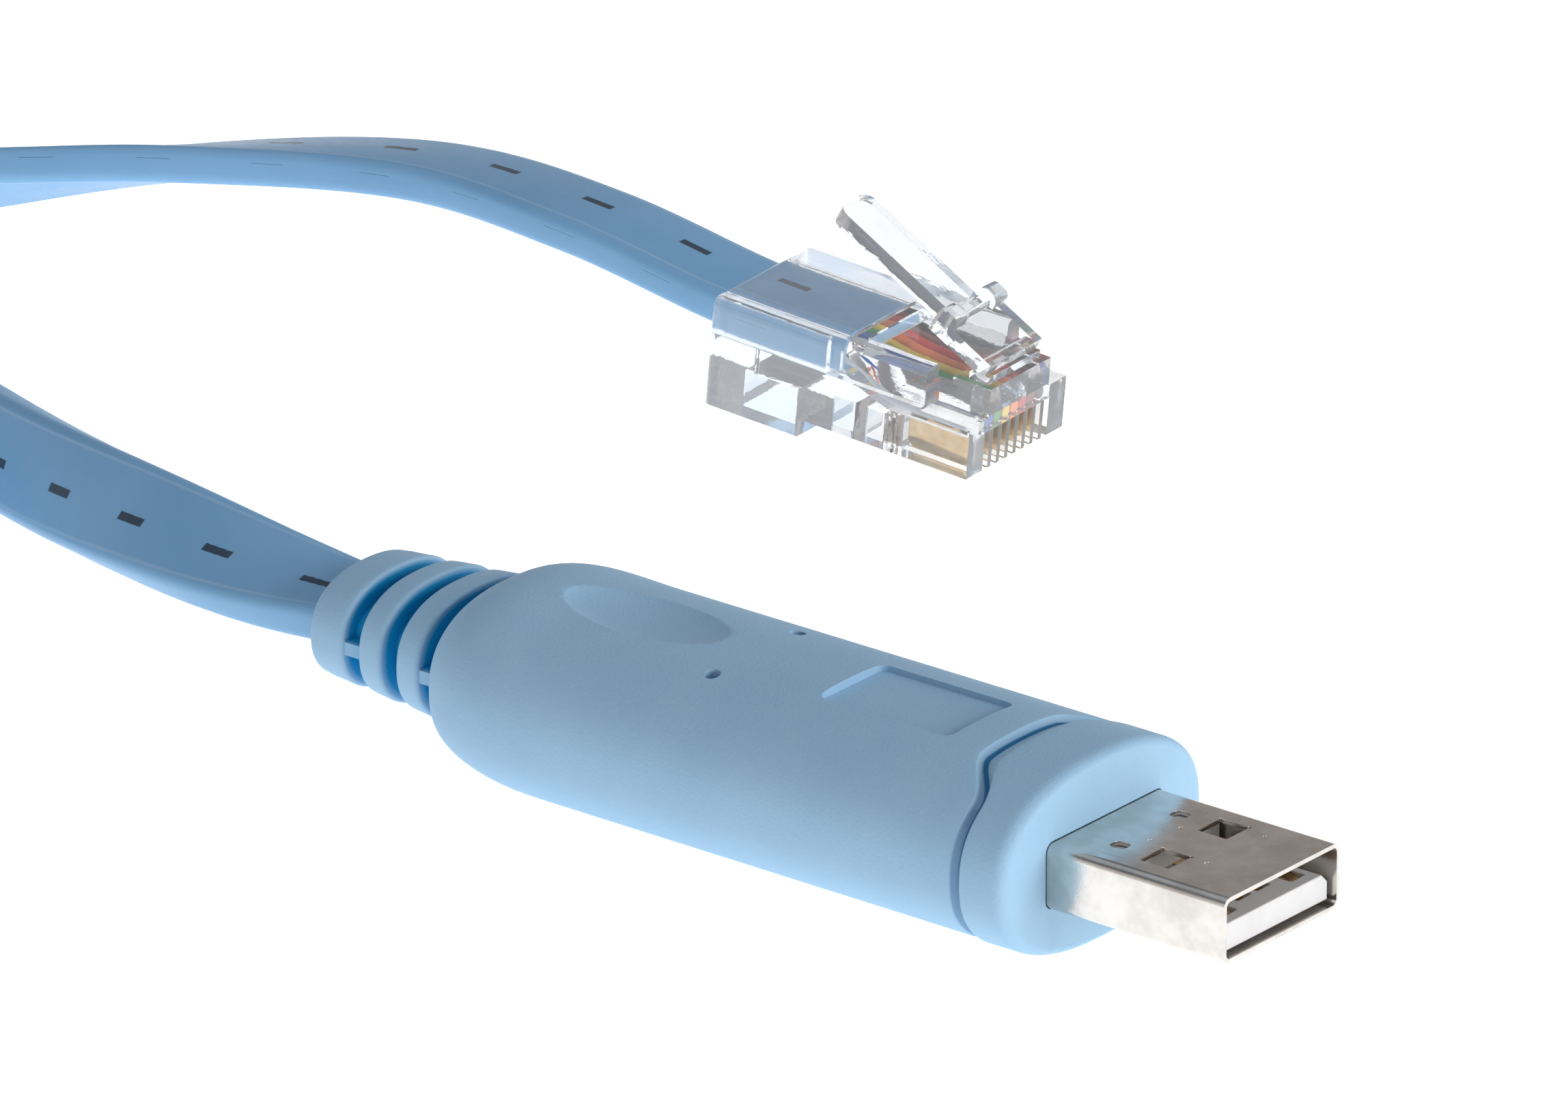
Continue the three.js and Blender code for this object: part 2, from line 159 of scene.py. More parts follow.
# %% Picking parts in edit mode
def pick(piece, kind, test):
    """In edit mode, selects the vertices, edges or faces whose middle passes the test."""
    bpy.ops.mesh.select_mode(type=kind)
    bpy.ops.mesh.select_all(action="DESELECT")
    mesh = bmesh.from_edit_mesh(piece.data)
    parts = {"VERT": mesh.verts, "EDGE": mesh.edges, "FACE": mesh.faces}[kind]
    for part in parts:
        if kind == "VERT":
            middle = part.co
        elif kind == "EDGE":
            middle = (part.verts[0].co + part.verts[1].co) / 2
        else:
            middle = part.calc_center_median()
        part.select_set(test(middle))
    mesh.select_flush_mode()
    bmesh.update_edit_mesh(piece.data)


# %% Blocks and rods
def block(name, low, high):
    """A box from its low corner to its high corner."""
    low, high = Vector(low), Vector(high)
    bpy.ops.mesh.primitive_cube_add(size=1, location=(low + high) / 2)
    piece = bpy.context.object
    piece.name = name
    piece.scale = high - low
    return settle(piece)


def rod(name, start, end, radius, sides=24):
    """A round bar between two points."""
    start, end = Vector(start), Vector(end)
    along = end - start
    bpy.ops.mesh.primitive_cylinder_add(
        vertices=sides, radius=radius, depth=along.length, location=(start + end) / 2,
        rotation=along.to_track_quat("Z", "Y").to_euler(),
    )
    piece = bpy.context.object
    piece.name = name
    return settle(piece)


# %% A smooth rise, and the distance that counts as touching
TOUCH = 1e-6


def smoothstep(low, high, value):
    """0 below low, 1 above high, and a smooth rise between them."""
    t = min(max((value - low) / (high - low), 0), 1)
    return t * t * (3 - 2 * t)


# %% [markdown]
# ## The sizes that every cell shares
# They are the driving sizes of the CAD model. What the CAD model can tell by itself, such as where
# the metal shell starts, is read from its nodes.

# %% Shared sizes
shell_low, shell_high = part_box("usb_shell")
mould_low, mould_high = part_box("usb_overmould")
FRONT_X = mould_high.x
TAIL_X = mould_low.x
AXIS_Z = (mould_low.z + mould_high.z) / 2

CABLE_WIDTH = 7.4 * MM
CABLE_THICK = 2.6 * MM
RELIEF_RISE = 0.5 * MM

PLUG_WIDTH = 11.68 * MM
PLUG_LONG = 21.46 * MM
PLUG_HEIGHT = 8.0 * MM
PLUG_STEP = 1.3 * MM
STEP_AT = 7.8 * MM
ENTRY_Z = 5.9 * MM
JACKET_END = 10.0 * MM

plug_pitch = math.atan2(PLUG_STEP, PLUG_LONG - STEP_AT)
plug_frame = (
    Matrix.Translation((-53.15 * MM, 59.9 * MM, STEP_AT * math.sin(plug_pitch)))
    @ Matrix.Rotation(math.radians(4.2), 4, "Z")
    @ Matrix.Rotation(plug_pitch, 4, "Y")
)
print("the plug noses down by", round(math.degrees(plug_pitch), 1), "degrees")


def in_plug(x, y, z):
    """A point of the plug's own frame, in the frame of the whole model."""
    return plug_frame @ Vector((x, y, z))


# %% [markdown]
# ## The camera
# The photograph is a telephoto view from the front right, a little above the cable. A long lens a
# good metre away keeps the long edges of both plugs nearly parallel, as they are there.

# %% Camera
AIM = Vector((-32.95, 38.2, 0)) * MM
AZIMUTH = math.radians(38.6)
ELEVATION = math.radians(22.3)
DISTANCE = 1.2
PIXELS_PER_MM = 22.03
PHOTO_WIDTH = 2296
SENSOR = 36.0

back = Vector((
    math.sin(AZIMUTH) * math.cos(ELEVATION),
    -math.cos(AZIMUTH) * math.cos(ELEVATION),
    math.sin(ELEVATION),
))
bpy.ops.object.camera_add(location=AIM + back * DISTANCE)
camera = bpy.context.object
camera.name = "camera"
camera.rotation_euler = (-back).to_track_quat("-Z", "Y").to_euler()
camera.data.sensor_width = SENSOR
camera.data.lens = SENSOR * PIXELS_PER_MM * (DISTANCE / MM) / PHOTO_WIDTH
camera.data.clip_end = 20
bpy.context.scene.camera = camera
print("lens", round(camera.data.lens), "mm on a", SENSOR, "mm sensor")

# %% [markdown]
# ## The route of the cable
# A flat cable bends easily across its face and hardly at all across its width, so a neat coil of it
# stands on edge. Both of its ends have to leave the coil from the outside, so the two strands are
# wound side by side from an S-shaped bend in the middle. The ends lie flat at the plugs, and each
# strand twists up on to its edge on its way to the coil. The leads follow listed points, and the
# turns come from a loop.

# %% Route: the leads and the coil
COIL = Vector((-123.35, -20, 3.7)) * MM
COIL_OUTER = 48 * MM
TURN_PITCH = 2.9 * MM
RJ45_JOINS = 121
USB_JOINS = 69
RJ45_TURN = 1219
STEP_DEGREES = 6


def on_coil(radius, degrees):
    """A point of the coil, at this radius and angle."""
    angle = math.radians(degrees)
    return COIL + Vector((radius * math.cos(angle), radius * math.sin(angle), 0))


def lead(points, steps=14):
    """A centripetal Catmull-Rom curve through the points, as in the CAD model."""
    ends = [2 * points[0] - points[1], *points, 2 * points[-1] - points[-2]]
    curve = []
    for four in zip(ends, ends[1:], ends[2:], ends[3:]):
        knots = [0]
        for p, q in zip(four, four[1:]):
            knots.append(knots[-1] + (q - p).length ** 0.5)

        def between(p, q, first, last):
            return p.lerp(q, (t - knots[first]) / (knots[last] - knots[first]))

        for k in range(steps):
            t = knots[1] + (knots[2] - knots[1]) * k / steps
            pairs = [between(four[i], four[i + 1], i, i + 1) for i in range(3)]
            threes = [between(pairs[i], pairs[i + 1], i, i + 2) for i in range(2)]
            curve.append(between(threes[0], threes[1], 1, 2))
    return [*curve, points[-1].copy()]


def path_length(points):
    """The length of a line through the points."""
    return sum((b - a).length for a, b in zip(points, points[1:]))


# %% The two leads
usb_radius = COIL_OUTER - TURN_PITCH + TURN_PITCH * (RJ45_JOINS - USB_JOINS) / 180
inner_radius = COIL_OUTER - TURN_PITCH * RJ45_TURN / 180
core_angle = RJ45_JOINS + RJ45_TURN - 180

usb_lead = lead([
    Vector((TAIL_X + 0.8 * MM, 0, AXIS_Z + RELIEF_RISE)),
    Vector((-45.8, 0.3, 7.1)) * MM,
    Vector((-56.6, 2.0, 7.1)) * MM,
    Vector((-72.4, 7.2, 6.0)) * MM,
    on_coil(usb_radius, USB_JOINS),
])
rj45_lead = lead([
    in_plug(JACKET_END, 0, ENTRY_Z),
    in_plug(0, 0, ENTRY_Z),
    Vector((-67, 60.0, 8.6)) * MM,
    Vector((-82, 60.3, 8.6)) * MM,
    Vector((-99.5, 54.2, 6.8)) * MM,
    Vector((-116.5, 42.6, 4.6)) * MM,
    on_coil(COIL_OUTER, RJ45_JOINS),
])
print("the leads have", len(usb_lead), "and", len(rj45_lead), "points")


# %% The turns and the S in their middle
def strand(radius, joins, turn):
    """One strand's turns, from where its lead joins the coil in to the S."""
    steps = round(turn / STEP_DEGREES)
    return [
        on_coil(radius + (inner_radius - radius) * k / steps, joins + turn * k / steps)
        for k in range(1, steps + 1)
    ]


usb_turns = strand(usb_radius, USB_JOINS, core_angle - USB_JOINS)
rj45_turns = strand(COIL_OUTER, RJ45_JOINS, RJ45_TURN)

CORE_STEPS = 20
core = []
for half in (0, 1):
    middle = on_coil(inner_radius / 2, core_angle + 180 * half)
    for k in range(1, CORE_STEPS + 1):
        turned = core_angle + (1 - 2 * half) * 180 * k / CORE_STEPS
        angle = math.radians(turned)
        core.append(middle + Vector((math.cos(angle), math.sin(angle), 0)) * inner_radius / 2)

route = usb_lead + usb_turns + core[:-1] + rj45_turns[::-1] + rj45_lead[::-1][1:]
CABLE_LENGTH = path_length(route)
print("the cable is", round(CABLE_LENGTH, 3), "m long, in", len(route), "steps")

# %% [markdown]
# ## How far the cable is turned up
# The width direction starts level at each plug and swings through a quarter turn by the coil. The
# turn goes the way that the photograph shows beside the adaptor, where the upper face leans towards
# the camera.

# %% The width direction along the route
travelled = [0.0]
for a, b in zip(route, route[1:]):
    travelled.append(travelled[-1] + (b - a).length)
usb_lead_long = path_length(usb_lead)
rj45_lead_long = path_length(rj45_lead)


def turned_up(index):
    """The turn of the cable's width about its own line, in degrees, at a point of the route."""
    from_usb = travelled[index]
    from_rj45 = CABLE_LENGTH - travelled[index]
    if from_usb < usb_lead_long:
        return -90 * (1 - (1 - from_usb / usb_lead_long) ** 2.1)
    if from_rj45 < rj45_lead_long:
        return -90 * smoothstep(0.1, 1, from_rj45 / rj45_lead_long) ** 1.7
    return -90


def cable_frames():
    """At each point of the route: the point, the way across the width, and the face's normal."""
    frames = []
    for i, point in enumerate(route):
        ahead = (route[min(i + 1, len(route) - 1)] - route[max(i - 1, 0)]).normalized()
        level = Vector((0, 0, 1)).cross(ahead).normalized()
        wide = Matrix.Rotation(math.radians(turned_up(i)), 3, ahead) @ level
        frames.append((point, wide, ahead.cross(wide)))
    return frames


# %% [markdown]
# ## The cable's jacket
# The section is a flat bar with round edges. It is swept along the route in mesh code, because a curve
# object can't hold a twist that is set point by point. A UV map in millimetres runs along the jacket
# and across it, with the lower face in a band of its own, so that the finish can follow the cable.

# %% Sweep the jacket
EDGE_ROUND = 0.75 * MM
CORNER_STEPS = 4
LOWER_BAND = 20


def jacket_section():
    """The section's outline, as steps across the width and the thickness."""
    points = []
    corners = ((1, 1, 0), (-1, 1, 90), (-1, -1, 180), (1, -1, 270))
    for across, up, start in corners:
        middle_x = across * (CABLE_WIDTH / 2 - EDGE_ROUND)
        middle_y = up * (CABLE_THICK / 2 - EDGE_ROUND)
        for k in range(CORNER_STEPS + 1):
            angle = math.radians(start + 90 * k / CORNER_STEPS)
            points.append((
                middle_x + EDGE_ROUND * math.cos(angle),
                middle_y + EDGE_ROUND * math.sin(angle),
            ))
    return points


def sweep_jacket():
    """The jacket as one closed mesh, with its UV map in millimetres."""
    section = jacket_section()
    sides = len(section)
    mesh = bmesh.new()
    uv = mesh.loops.layers.uv.new("cable")
    rings = [
        [mesh.verts.new(point + wide * x + face * y) for x, y in section]
        for point, wide, face in cable_frames()
    ]
    for i in range(len(rings) - 1):
        for k in range(sides):
            following = (k + 1) % sides
            quad = (rings[i][k], rings[i][following], rings[i + 1][following], rings[i + 1][k])
            face = mesh.faces.new(quad)
            places = ((i, k), (i, following), (i + 1, following), (i + 1, k))
            for loop, (ring, side) in zip(face.loops, places):
                across, up = section[side]
                around = across / MM if up >= 0 else LOWER_BAND - across / MM
                loop[uv].uv = (travelled[ring] / MM, around)
            face.smooth = True
    mesh.faces.new(rings[0][::-1])
    mesh.faces.new(rings[-1])
    bmesh.ops.recalc_face_normals(mesh, faces=mesh.faces)
    data = bpy.data.meshes.new("flat_cable")
    mesh.to_mesh(data)
    mesh.free()
    piece = bpy.data.objects.new("flat_cable", data)
    bpy.context.scene.collection.objects.link(piece)
    return piece


flat_cable = smooth_shade(sweep_jacket(), 60)
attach(flat_cable, "cable")
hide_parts("cable_usb_side", "cable_rj45_side", "cable_coil", "cable_core")
print("the jacket has", len(flat_cable.data.polygons), "faces")

# %% [markdown]
# ## The blue moulding round the USB plug
# The real one is a soft plastic body moulded over the plug and the cable: a collar at the front, a
# wavy groove, an oval grip and a ribbed relief that lets the cable bend. One circle is extruded
# backwards ring by ring, and every ring is then set to its own station: how far back it is, its half
# width and height, and how square its oval is. Blocks joined by booleans would do too, but their
# seams would show on so soft a form. This way gives one closed skin with soft edges, and only the
# recesses are left to cut.

# %% Sizes of the moulding
BODY_LONG = 49.2 * MM
BODY_HALF = 10.3 * MM
BODY_FLATNESS = 12.6 / 20.6
BODY_SQUARE = 2.35
SHOULDER = 9.0 * MM
SHOULDER_STEPS = 18

COLLAR_HALF = BODY_HALF + 0.15 * MM
COLLAR_EDGE = 1.0 * MM

GROOVE_X = 5.2 * MM
GROOVE_WIDE = 0.8 * MM
GROOVE_DEEP = 0.8 * MM
GROOVE_WAVE = 1.25 * MM
GROOVE_FADE = 3.6 * MM
GROOVE_LEAN = 0.85 * MM

RELIEF_LONG = 11.6 * MM
RELIEF_ROOT = 6.8 * MM
RELIEF_END = 5.7 * MM
RELIEF_FLATNESS = 8 / 12
RIB_GAP = 1.4 * MM
RIB_PITCH = 3.4 * MM
RIB_FIRST = 0.2 * MM
SLEEVE_HALF_WIDE = 4.7 * MM
SLEEVE_HALF_HIGH = 2.3 * MM
SLEEVE_SQUARE = 3.2

RING_POINTS = 144


# %% The stations, from the front face back to the tail
def flatness(back):
    """Half height over half width, this far behind the front face."""
    share = smoothstep(BODY_LONG - SHOULDER, BODY_LONG, back)
    return BODY_FLATNESS + (RELIEF_FLATNESS - BODY_FLATNESS) * share


def oval(back, half, lean=0.0):
    """A station of the body: its place, half width, half height, squareness and lean."""
    return (back, half, half * flatness(back), BODY_SQUARE, lean)


def rounded_edge(back, half, radius, way, lean=0.0, steps=4):
    """Stations over an edge: way is 1 where the body widens and -1 where it narrows."""
    turns = [math.radians(90 * k / steps) for k in range(steps + 1)]
    if way == 1:
        return [
            oval(back + radius - radius * math.cos(t), half - radius + radius * math.sin(t), lean)
            for t in turns
        ]
    return [
        oval(back - radius + radius * math.sin(t), half - radius + radius * math.cos(t), lean)
        for t in turns
    ]


def evenly(first, last, step):
    """Places from first to last, both left out, no more than a step apart."""
    count = math.ceil((last - first) / step)
    return [first + (last - first) * k / count for k in range(1, count)]


def relief_half(back):
    """The half width of the relief's tapering ribs."""
    share = (back - BODY_LONG) / RELIEF_LONG
    return RELIEF_ROOT + (RELIEF_END - RELIEF_ROOT) * share


# %% The body's stations
def moulding_stations():
    """All the stations of the moulding, in order."""
    edge_round = 0.14 * MM
    stations = rounded_edge(0, COLLAR_HALF, COLLAR_EDGE, 1, steps=7)
    groove_start = GROOVE_X - GROOVE_WIDE / 2
    groove_end = GROOVE_X + GROOVE_WIDE / 2
    floor_half = BODY_HALF - GROOVE_DEEP
    floor_rim = floor_half + 0.1 * MM
    for back in evenly(COLLAR_EDGE, groove_start - edge_round, 0.5 * MM):
        lean = GROOVE_LEAN * smoothstep(COLLAR_EDGE, groove_start, back)
        stations.append(oval(back, COLLAR_HALF, lean))
    stations += rounded_edge(groove_start, COLLAR_HALF, edge_round, -1, lean=GROOVE_LEAN)
    stations.append(oval(GROOVE_X - GROOVE_WIDE / 3, floor_rim))
    stations.append(oval(GROOVE_X - GROOVE_WIDE / 5, floor_half))
    stations.append(oval(GROOVE_X + GROOVE_WIDE / 5, floor_half))
    stations.append(oval(GROOVE_X + GROOVE_WIDE / 3, floor_rim))
    stations += rounded_edge(groove_end, BODY_HALF, edge_round, 1)
    shoulder_start = BODY_LONG - SHOULDER
    for back in evenly(groove_end + edge_round, shoulder_start, 0.9 * MM):
        stations.append(oval(back, BODY_HALF))
    for k in range(SHOULDER_STEPS + 1):
        turn = math.radians(90 * k / SHOULDER_STEPS)
        half = RELIEF_ROOT + (BODY_HALF - RELIEF_ROOT) * math.cos(turn)
        stations.append(oval(shoulder_start + SHOULDER * math.sin(turn), half))
    return stations + relief_stations()


# %% The relief's stations
def relief_stations():
    """Three grooves that go down to a sleeve round the cable, and the ribs between them."""
    stations = []
    soft = 0.3 * MM
    wall_slope = 0.1 * MM
    tail_round = 0.6 * MM
    before = BODY_LONG
    for k in range(3):
        start = BODY_LONG + RIB_FIRST + k * RIB_PITCH
        end = start + RIB_GAP
        if start - before > 2 * soft:
            stations += rounded_edge(before, relief_half(before), soft, 1)
            for back in evenly(before + soft, start - soft, 0.5 * MM):
                stations.append(oval(back, relief_half(back)))
            stations += rounded_edge(start, relief_half(start), soft, -1)
        for back in (start + wall_slope, end - wall_slope):
            stations.append((back, SLEEVE_HALF_WIDE, SLEEVE_HALF_HIGH, SLEEVE_SQUARE, 0.0))
        before = end
    tail = BODY_LONG + RELIEF_LONG
    stations += rounded_edge(before, relief_half(before), soft, 1)
    for back in evenly(before + soft, tail - tail_round, 0.6 * MM):
        stations.append(oval(back, relief_half(back)))
    stations += rounded_edge(tail, relief_half(tail), tail_round, -1, steps=6)
    return stations


# %% Extrude one circle through the stations
def station_point(station, angle):
    """Where a point of the ring at this angle goes."""
    back, half_wide, half_high, square, lean = station
    across, up = math.cos(angle), math.sin(angle)
    swell = (abs(across) ** square + abs(up) ** square) ** (-1 / square)
    on_top = 1 - smoothstep(0.35, 0.75, abs(across))
    wave = GROOVE_WAVE * (2 * on_top - 1)
    near = smoothstep(COLLAR_EDGE, GROOVE_X - GROOVE_WIDE / 2, back)
    near *= 1 - smoothstep(GROOVE_X + GROOVE_WIDE / 2, GROOVE_X + GROOVE_FADE, back)
    behind = back + wave * near - lean * on_top
    rise = RELIEF_RISE * smoothstep(BODY_LONG - SHOULDER, BODY_LONG, back)
    return Vector((
        FRONT_X - behind,
        half_wide * across * swell,
        AXIS_Z + half_high * up * swell + rise,
    ))


def extruded_moulding(stations):
    """A circle is extruded once for each station, and then each ring is set to its station."""
    bpy.ops.object.select_all(action="DESELECT")
    bpy.ops.mesh.primitive_circle_add(
        vertices=RING_POINTS, radius=1, fill_type="NGON", rotation=(0, math.radians(90), 0),
    )
    piece = bpy.context.object
    piece.name = "usb_overmould_skin"
    settle(piece)
    bpy.ops.object.mode_set(mode="EDIT")
    pick(piece, "FACE", lambda middle: True)
    for _ in stations[1:]:
        bpy.ops.mesh.extrude_region_move(TRANSFORM_OT_translate={"value": (-1, 0, 0)})
    bpy.ops.object.mode_set(mode="OBJECT")
    for vertex in piece.data.vertices:
        station = stations[min(round(-vertex.co.x), len(stations) - 1)]
        vertex.co = station_point(station, math.atan2(vertex.co.z, vertex.co.y))
    bpy.ops.object.mode_set(mode="EDIT")
    bpy.ops.mesh.select_all(action="SELECT")
    bpy.ops.mesh.normals_make_consistent(inside=False)
    bpy.ops.object.mode_set(mode="OBJECT")
    return piece


stations = moulding_stations()
moulding = extruded_moulding(stations)
print("the moulding has", len(stations), "rings and", len(moulding.data.polygons), "faces")

# %% [markdown]
# ## The bridges, the recesses and the seat
# At each side a small bridge crosses the first and the last groove of the relief, as on the real
# moulding, where it keeps the ribs in line. The marking panel, the thumb dimple, the two indicator
# holes and the seat of the metal shell are cut out of the skin with boolean cutters. Bump in the
# finish would be quicker, but a real hollow shades itself from every side. The panel's floor is flat
# and the body's top is round, so the panel fades out at its near edge by itself.

# %% Bridges across the grooves
top_z = AXIS_Z + BODY_HALF * BODY_FLATNESS
relief_z = AXIS_Z + RELIEF_RISE
BRIDGE_HALF = 0.45 * MM
BRIDGE_ROOT = 4.0 * MM
BRIDGE_SUNK = 0.25 * MM
BRIDGE_OVERLAP = 0.4 * MM

for k in (0, 2):
    start = BODY_LONG + RIB_FIRST + k * RIB_PITCH
    out = relief_half(start + RIB_GAP) - BRIDGE_SUNK
    for side in (-1, 1):
        low, high = sorted((side * out, side * BRIDGE_ROOT))
        bridge = block(
            "bridge",
            (FRONT_X - start - RIB_GAP - BRIDGE_OVERLAP, low, relief_z - BRIDGE_HALF),
            (FRONT_X - start + BRIDGE_OVERLAP, high, relief_z + BRIDGE_HALF),
        )
        carve(moulding, bridge, "UNION")
print("four bridges, each", round(2 * BRIDGE_HALF / MM, 2), "mm high")


# %% The marking panel
def rounded_block(name, low, high, radius, axis, steps=5):
    """A box whose four edges along one axis are rounded."""
    piece = block(name, low, high)
    index = "XYZ".index(axis)
    centre = (Vector(low) + Vector(high)) / 2
    bpy.ops.object.mode_set(mode="EDIT")
    pick(piece, "EDGE", lambda middle: abs(middle[index] - centre[index]) < TOUCH)
    bpy.ops.mesh.bevel(offset=radius, segments=steps, affect="EDGES")
    bpy.ops.object.mode_set(mode="OBJECT")
    return piece


PANEL_X = 15.1 * MM
PANEL_LONG = 10.7 * MM
PANEL_WIDE = 6.8 * MM
PANEL_DEEP = 0.6 * MM
PANEL_CORNER = 0.7 * MM
panel = rounded_block(
    "panel",
    (FRONT_X - PANEL_X - PANEL_LONG / 2, -PANEL_WIDE / 2, top_z - PANEL_DEEP),
    (FRONT_X - PANEL_X + PANEL_LONG / 2, PANEL_WIDE / 2, top_z + 2 * MM),
    PANEL_CORNER, "Z",
)
carve(moulding, panel)
print("the panel is", round(PANEL_DEEP / MM, 2), "mm deep")

# %% The thumb dimple
THUMB_X = 36.9 * MM
THUMB_LONG = 12.5 * MM
THUMB_WIDE = 6.5 * MM
THUMB_DEEP = 0.85 * MM
THUMB_BULGE = 1.8 * MM
reach = math.sqrt(1 - (1 - THUMB_DEEP / THUMB_BULGE) ** 2)
bpy.ops.object.select_all(action="DESELECT")
bpy.ops.mesh.primitive_uv_sphere_add(
    segments=96, ring_count=48, radius=1,
    location=(FRONT_X - THUMB_X, 0, top_z - THUMB_DEEP + THUMB_BULGE),
)
dimple = bpy.context.object
dimple.scale = (THUMB_LONG / 2 / reach, THUMB_WIDE / 2 / reach, THUMB_BULGE)
carve(moulding, settle(dimple))
print("the dimple is", round(THUMB_DEEP / MM, 2), "mm deep")

# %% The indicator holes and the seat of the shell
LAMP_X = 28.2 * MM
LAMP_Y = 4.35 * MM
LAMP_BORE = 1.1 * MM
LAMP_FLOOR = top_z - 1.5 * MM
for side in (-1, 1):
    bottom = Vector((FRONT_X - LAMP_X, side * LAMP_Y, LAMP_FLOOR))
    above = bottom + Vector((0, 0, 3 * MM))
    carve(moulding, rod("lamp_hole", bottom, above, LAMP_BORE / 2, 32))

SEAT_GAP = 0.3 * MM
SEAT_DEEP = 2.7 * MM
SEAT_PLAY = 0.06 * MM
SEAT_CORNER = 0.7 * MM
seat = rounded_block(
    "seat",
    (FRONT_X - SEAT_DEEP - SEAT_GAP, shell_low.y - SEAT_PLAY, shell_low.z - SEAT_PLAY),
    (FRONT_X + 1 * MM, shell_high.y + SEAT_PLAY, shell_high.z + SEAT_PLAY),
    SEAT_CORNER, "X",
)
carve(moulding, seat)

usb_overmould = even_normals(moulding, 35)
usb_overmould.name = "usb_overmould_body"
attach(usb_overmould, "cable")
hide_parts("usb_overmould")
print("the cut moulding has", len(usb_overmould.data.polygons), "faces")

# %% [markdown]
# ## The metal shell of the USB plug
# It is folded from thin plated sheet. A block gets its four long edges rounded, loses its two end
# faces and becomes sheet with a Solidify modifier. A smaller block could be cut out of a larger one,
# but the modifier keeps the wall even round the corners. Two square windows hold the plug in its
# socket, and two small holes behind them come from the folding tool.

# %% Fold the shell
SHELL_WALL = 0.3 * MM
SHELL_CORNER = 0.65 * MM

usb_shell = rounded_block("usb_shell_sheet", shell_low, shell_high, SHELL_CORNER, "X", steps=6)
bpy.ops.object.mode_set(mode="EDIT")
pick(usb_shell, "FACE", lambda m: not shell_low.x + TOUCH < m.x < shell_high.x - TOUCH)
bpy.ops.mesh.delete(type="FACE")
bpy.ops.object.mode_set(mode="OBJECT")
apply_modifier(usb_shell, "SOLIDIFY", thickness=SHELL_WALL, offset=-1, use_even_offset=True)

WINDOW = (7.1 * MM, 3.0 * MM, 2.3 * MM, 2.4 * MM)
WINDOW_CORNER = 0.08 * MM
SMALL_HOLE = (3.6 * MM, 3.1 * MM, 1.2 * MM, 1.1 * MM)
SMALL_CORNER = 0.4 * MM


def cut_hole(place, corner):
    """Cuts one pair of holes through the top sheet: place is x, y, length and width."""
    x, y, long, wide = place
    for side in (-1, 1):
        hole = rounded_block(
            "hole",
            (FRONT_X + x - long / 2, side * y - wide / 2, AXIS_Z + 1 * MM),
            (FRONT_X + x + long / 2, side * y + wide / 2, AXIS_Z + 3 * MM),
            corner, "Z",
        )
        carve(usb_shell, hole)


cut_hole(WINDOW, WINDOW_CORNER)
cut_hole(SMALL_HOLE, SMALL_CORNER)
print("the shell is", round(SHELL_WALL / MM, 2), "mm sheet with four holes")

# %% Nicks, tool marks and the seam
NICK = 0.14 * MM
window_x, window_y, window_long, window_wide = WINDOW
for side in (-1, 1):
    for end in (-1, 1):
        x = FRONT_X + window_x + end * window_long / 2
        y = side * window_y + window_wide / 2
        inside = Vector((x, y, AXIS_Z + 1.5 * MM))
        above = Vector((x, y, AXIS_Z + 3 * MM))
        carve(usb_shell, rod("nick", inside, above, NICK, 16))

MARK_RADIUS = 0.16 * MM
MARK_DEEP = 0.05 * MM
for x, y in ((4.6, -1.3), (4.9, 1.5), (9.6, -2.0), (9.9, 3.6)):
    mark = Vector((FRONT_X + x * MM, y * MM, shell_high.z - MARK_DEEP))
    above = mark + Vector((0, 0, 0.2 * MM))
    carve(usb_shell, rod("tool_mark", mark, above, MARK_RADIUS, 16))

SEAM_HALF = 0.04 * MM
SEAM_DEEP = 0.1 * MM
seam = block(
    "seam",
    (FRONT_X - 1 * MM, -SEAM_HALF, shell_low.z - SEAM_DEEP),
    (FRONT_X + 15 * MM, SEAM_HALF, shell_low.z + SEAM_DEEP),
)
carve(usb_shell, seam)
soften(usb_shell, 0.04 * MM, 2, 50)
even_normals(usb_shell, 35)
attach(usb_shell, "cable")
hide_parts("usb_shell")
print("the shell has", len(usb_shell.data.polygons), "faces")

# %% [markdown]
# ## The white tongue and its four contacts
# Inside the shell a white block fills the lower half, with one long edge cut off so that the plug
# can't go in upside down. Each contact lies in its own trough. The outer two reach further forward,
# so that power connects before data. At the root the block rises to a heel that fills the shell, and
# the two small holes in the sheet show it.

# %% Tongue
tongue_low, tongue_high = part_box("usb_tongue")
TONGUE_CHAMFER = 0.6 * MM
CONTACT_Y = [-3.5 * MM, -1.0 * MM, 1.0 * MM, 3.5 * MM]

TONGUE_EDGE = 0.09 * MM
TROUGH_FROM = tongue_low.x + 1.2 * MM
TROUGH_HALF = 0.72 * MM
TROUGH_DEEP = 0.55 * MM
TROUGH_CORNER = 0.12 * MM
OUTER_SET_BACK = 0.9 * MM
INNER_SET_BACK = 1.7 * MM
HEEL_END = FRONT_X + 5 * MM
HEEL_GAP = 0.08 * MM

usb_tongue = block("usb_tongue_block", tongue_low, tongue_high)
bpy.ops.object.mode_set(mode="EDIT")
pick(usb_tongue, "EDGE", lambda m: (
    m.y > tongue_high.y - TOUCH and m.z > tongue_high.z - TOUCH
))
bpy.ops.mesh.bevel(offset=TONGUE_CHAMFER, segments=1, affect="EDGES")
bpy.ops.object.mode_set(mode="OBJECT")

